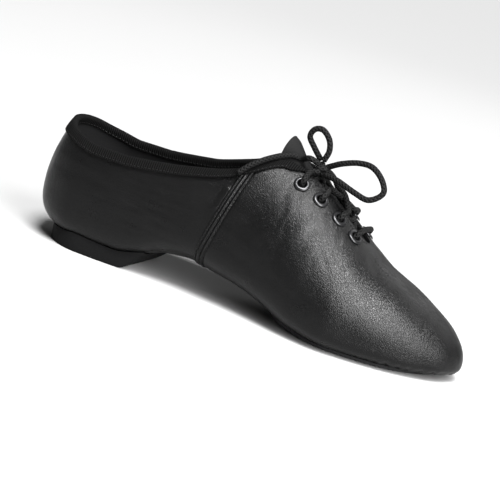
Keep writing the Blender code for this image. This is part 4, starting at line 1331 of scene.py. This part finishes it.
def stitch_rows(name, rows, pitch, length, wide, high):
    """rows are lists of (points, normals) in the shoe's frame. Makes one piece with all their stitches."""
    points, faces = [], []
    for line, normals in rows:
        lengths = arc(line)
        count = int(lengths[-1] / pitch)
        for n in range(count):
            middle = (n + 0.5) * pitch
            ends = [np.array([np.interp(s, lengths, line[:, k]) for k in range(3)])
                    for s in (middle - length / 2, middle + length / 2)]
            up = np.array([np.interp(middle, lengths, normals[:, k]) for k in range(3)])
            way = unit(ends[1] - ends[0])
            up = unit(up - way * np.dot(up, way))
            turn = np.stack([way * length / 2, np.cross(up, way) * wide / 2, up * high], 1)
            start = len(points)
            points.extend((BEAD_POINTS @ turn.T + (ends[0] + ends[1]) / 2 + ROOT).tolist())
            faces.extend([[v + start for v in face] for face in BEAD_FACES])
    mesh = bpy.data.meshes.new(name)
    mesh.from_pydata(points, [], faces)
    mesh.materials.append(thread)
    mesh.shade_smooth()
    print(name, len(points) // len(BEAD_POINTS), "stitches")
    finish_piece(as_object(name, mesh), "cord")


# %% Lay the rows
SHIELD_X, SHIELD_LENGTH, SHIELD_HALF = 199.5, 13, 7.5


def seam_lines():
    rows = []
    for side in SIDES:
        for s in SEAM_ROWS:
            u = np.full(160, station(SEAM_X + s * MM))
            top = collar_phi(u[:1], side) - 0.07
            phis = even_phis(u[:1], side, np.array([1e-4]), top, 159)[0]
            rows.append(skin_row(u, side, phis, seam_step(u) - 0.10 * MM))
    return rows


def facing_lines():
    """Along the facings beside the throat, and the shield sewn beyond the throat's end."""
    rows = []
    for side in SIDES:
        u = station(np.linspace(150, 192.5, 80) * MM)
        out = throat_half(spine_x(u)) + 2.4 * MM
        rows.append(skin_row(u, side, phi_out(u, side, out), seam_step(u)))
    t = np.linspace(-1, 1, 60)
    for side in SIDES:
        half = t[t >= 0] if side == "inner" else -t[t <= 0][::-1]
        x = (SHIELD_X + SHIELD_LENGTH * np.clip((half - 0.35) / 0.65, 0, 1)) * MM
        out = SHIELD_HALF * MM * np.sqrt(np.clip(half / 0.45, 0, 1)) + 0.4 * MM
        u = station(x)
        rows.append(skin_row(u, side, phi_out(u, side, out), seam_step(u)))
    return rows


def collar_lines():
    u = fine_stations(0, float(station(CORNER_X - 5 * MM)), 1.5 * MM)
    rows = []
    for side in SIDES:
        deep = tape_depth(u)
        for out, down in ((TAPE_GAP + TAPE_THICK, deep - 1.1 * MM),
                          (-WALL - TAPE_GAP - TAPE_THICK, 0 * u + 3 * MM)):
            line = edge_point(u, side, 0 * u + out, down)
            normal = unit(edge_point(u, side, 0 * u + out + 0.1 * MM, down) - line) * (1 if out > 0 else -1)
            rows.append((line, normal))
    return rows


def arch_lines():
    x = np.linspace(77, 152, 90) * MM
    u = station(x)
    rows = [skin_row(u, "inner", np.full(90, 1e-4), seam_step(u) - 0.05 * MM)]
    for side in SIDES:
        phi = phi_out(u, side, ARCH_ROW_OUT * MM, True)
        rows.append(skin_row(u, side, phi, seam_step(u) - 0.05 * MM))
    return rows


def patch_lines():
    rows = []
    for side in SIDES:
        u = fine_stations(float(station(PATCH_X + 1.5 * MM)), 1, 1.5 * MM)
        reach = np.maximum(patch_reach(u, side) - 1.2 * MM / width(u, side), 0)
        phi = phi_at_reach(u, reach, True)
        line, normal = skin_row(u, side, phi, np.full(len(u), SEAM_STEP + GAP + PATCH_THICK))
        line[:, 2] = np.maximum(line[:, 2], 0.25 * MM)
        rows.append((line, normal))
    return rows


for name, lines, *sizes in (("stitches_seam", seam_lines, 2.0, 1.45, 0.50, 0.30),
                            ("stitches_facing", facing_lines, 1.9, 1.35, 0.42, 0.22),
                            ("stitches_collar", collar_lines, 2.2, 1.5, 0.50, 0.30),
                            ("stitches_arch", arch_lines, 2.4, 1.7, 0.50, 0.30),
                            ("stitches_patch", patch_lines, 2.6, 1.7, 0.50, 0.30)):
    stitch_rows(name, lines(), *(size * MM for size in sizes))

# %% [markdown]
# ## Studio
# A pale floor. A broad soft sun from above and in front, a tall softbox on the toe's side for the sheen on
# the vamp and the facings, and a weak one behind that keeps the top edges apart from each other.

# %% Floor, light and sky
def area_light(name, place, aim, size, power):
    data = bpy.data.lights.new(name, "AREA")
    data.shape = "RECTANGLE"
    data.size, data.size_y = size
    data.energy = power
    lamp = as_object(name, data)
    lamp.location = place
    lamp.rotation_euler = (Vector(aim) - Vector(place)).to_track_quat("-Z", "Y").to_euler()


SUN_POWER = 10.0
SUN_ANGLE = 24
SUN_FROM = (0.20, -0.34, 0.92)
SKY_LIGHT = 0.1
SOFTBOX_FROM = (0.93, -0.70, 0.66)
SOFTBOX_AIM = (0.05, 0.0, 0.04)
SOFTBOX_SIZE = (0.62, 1.35)
SOFTBOX_POWER = 66
REAR_FROM = (0.35, 1.15, 0.75)
REAR_SIZE = (1.4, 0.5)
REAR_POWER = 5.0


def build_studio():
    bpy.ops.object.select_all(action="DESELECT")
    bpy.ops.mesh.primitive_plane_add(size=12, location=(0, 0, 0))
    floor = bpy.context.object
    floor.name = "floor"
    pale, _, _ = new_material("pale_floor", (0.27, 0.27, 0.27), 0.9, Specular_IOR_Level=0.05)
    floor.data.materials.append(pale)
    sun = bpy.data.lights.new("sun", "SUN")
    sun.energy = SUN_POWER
    sun.angle = math.radians(SUN_ANGLE)
    as_object("sun", sun).rotation_euler = Vector(SUN_FROM).to_track_quat("Z", "Y").to_euler()
    area_light("softbox", SOFTBOX_FROM, SOFTBOX_AIM, SOFTBOX_SIZE, SOFTBOX_POWER)
    area_light("rear_softbox", REAR_FROM, SOFTBOX_AIM, REAR_SIZE, REAR_POWER)
    world = bpy.data.worlds.new("sky")
    world.use_nodes = True
    tree = world.node_tree
    sky = tree.nodes["Background"]
    seen = node(tree, "ShaderNodeLightPath").outputs["Is Camera Ray"]
    tree.links.new(spread(tree, seen, 0, 1, SKY_LIGHT, 1.0), sky.inputs["Strength"])
    sky.inputs["Color"].default_value = (1, 1, 1, 1)
    bpy.context.scene.world = world
    bpy.context.scene.view_settings.view_transform = "Standard"


build_studio()
print("lights:", len(bpy.data.lights))
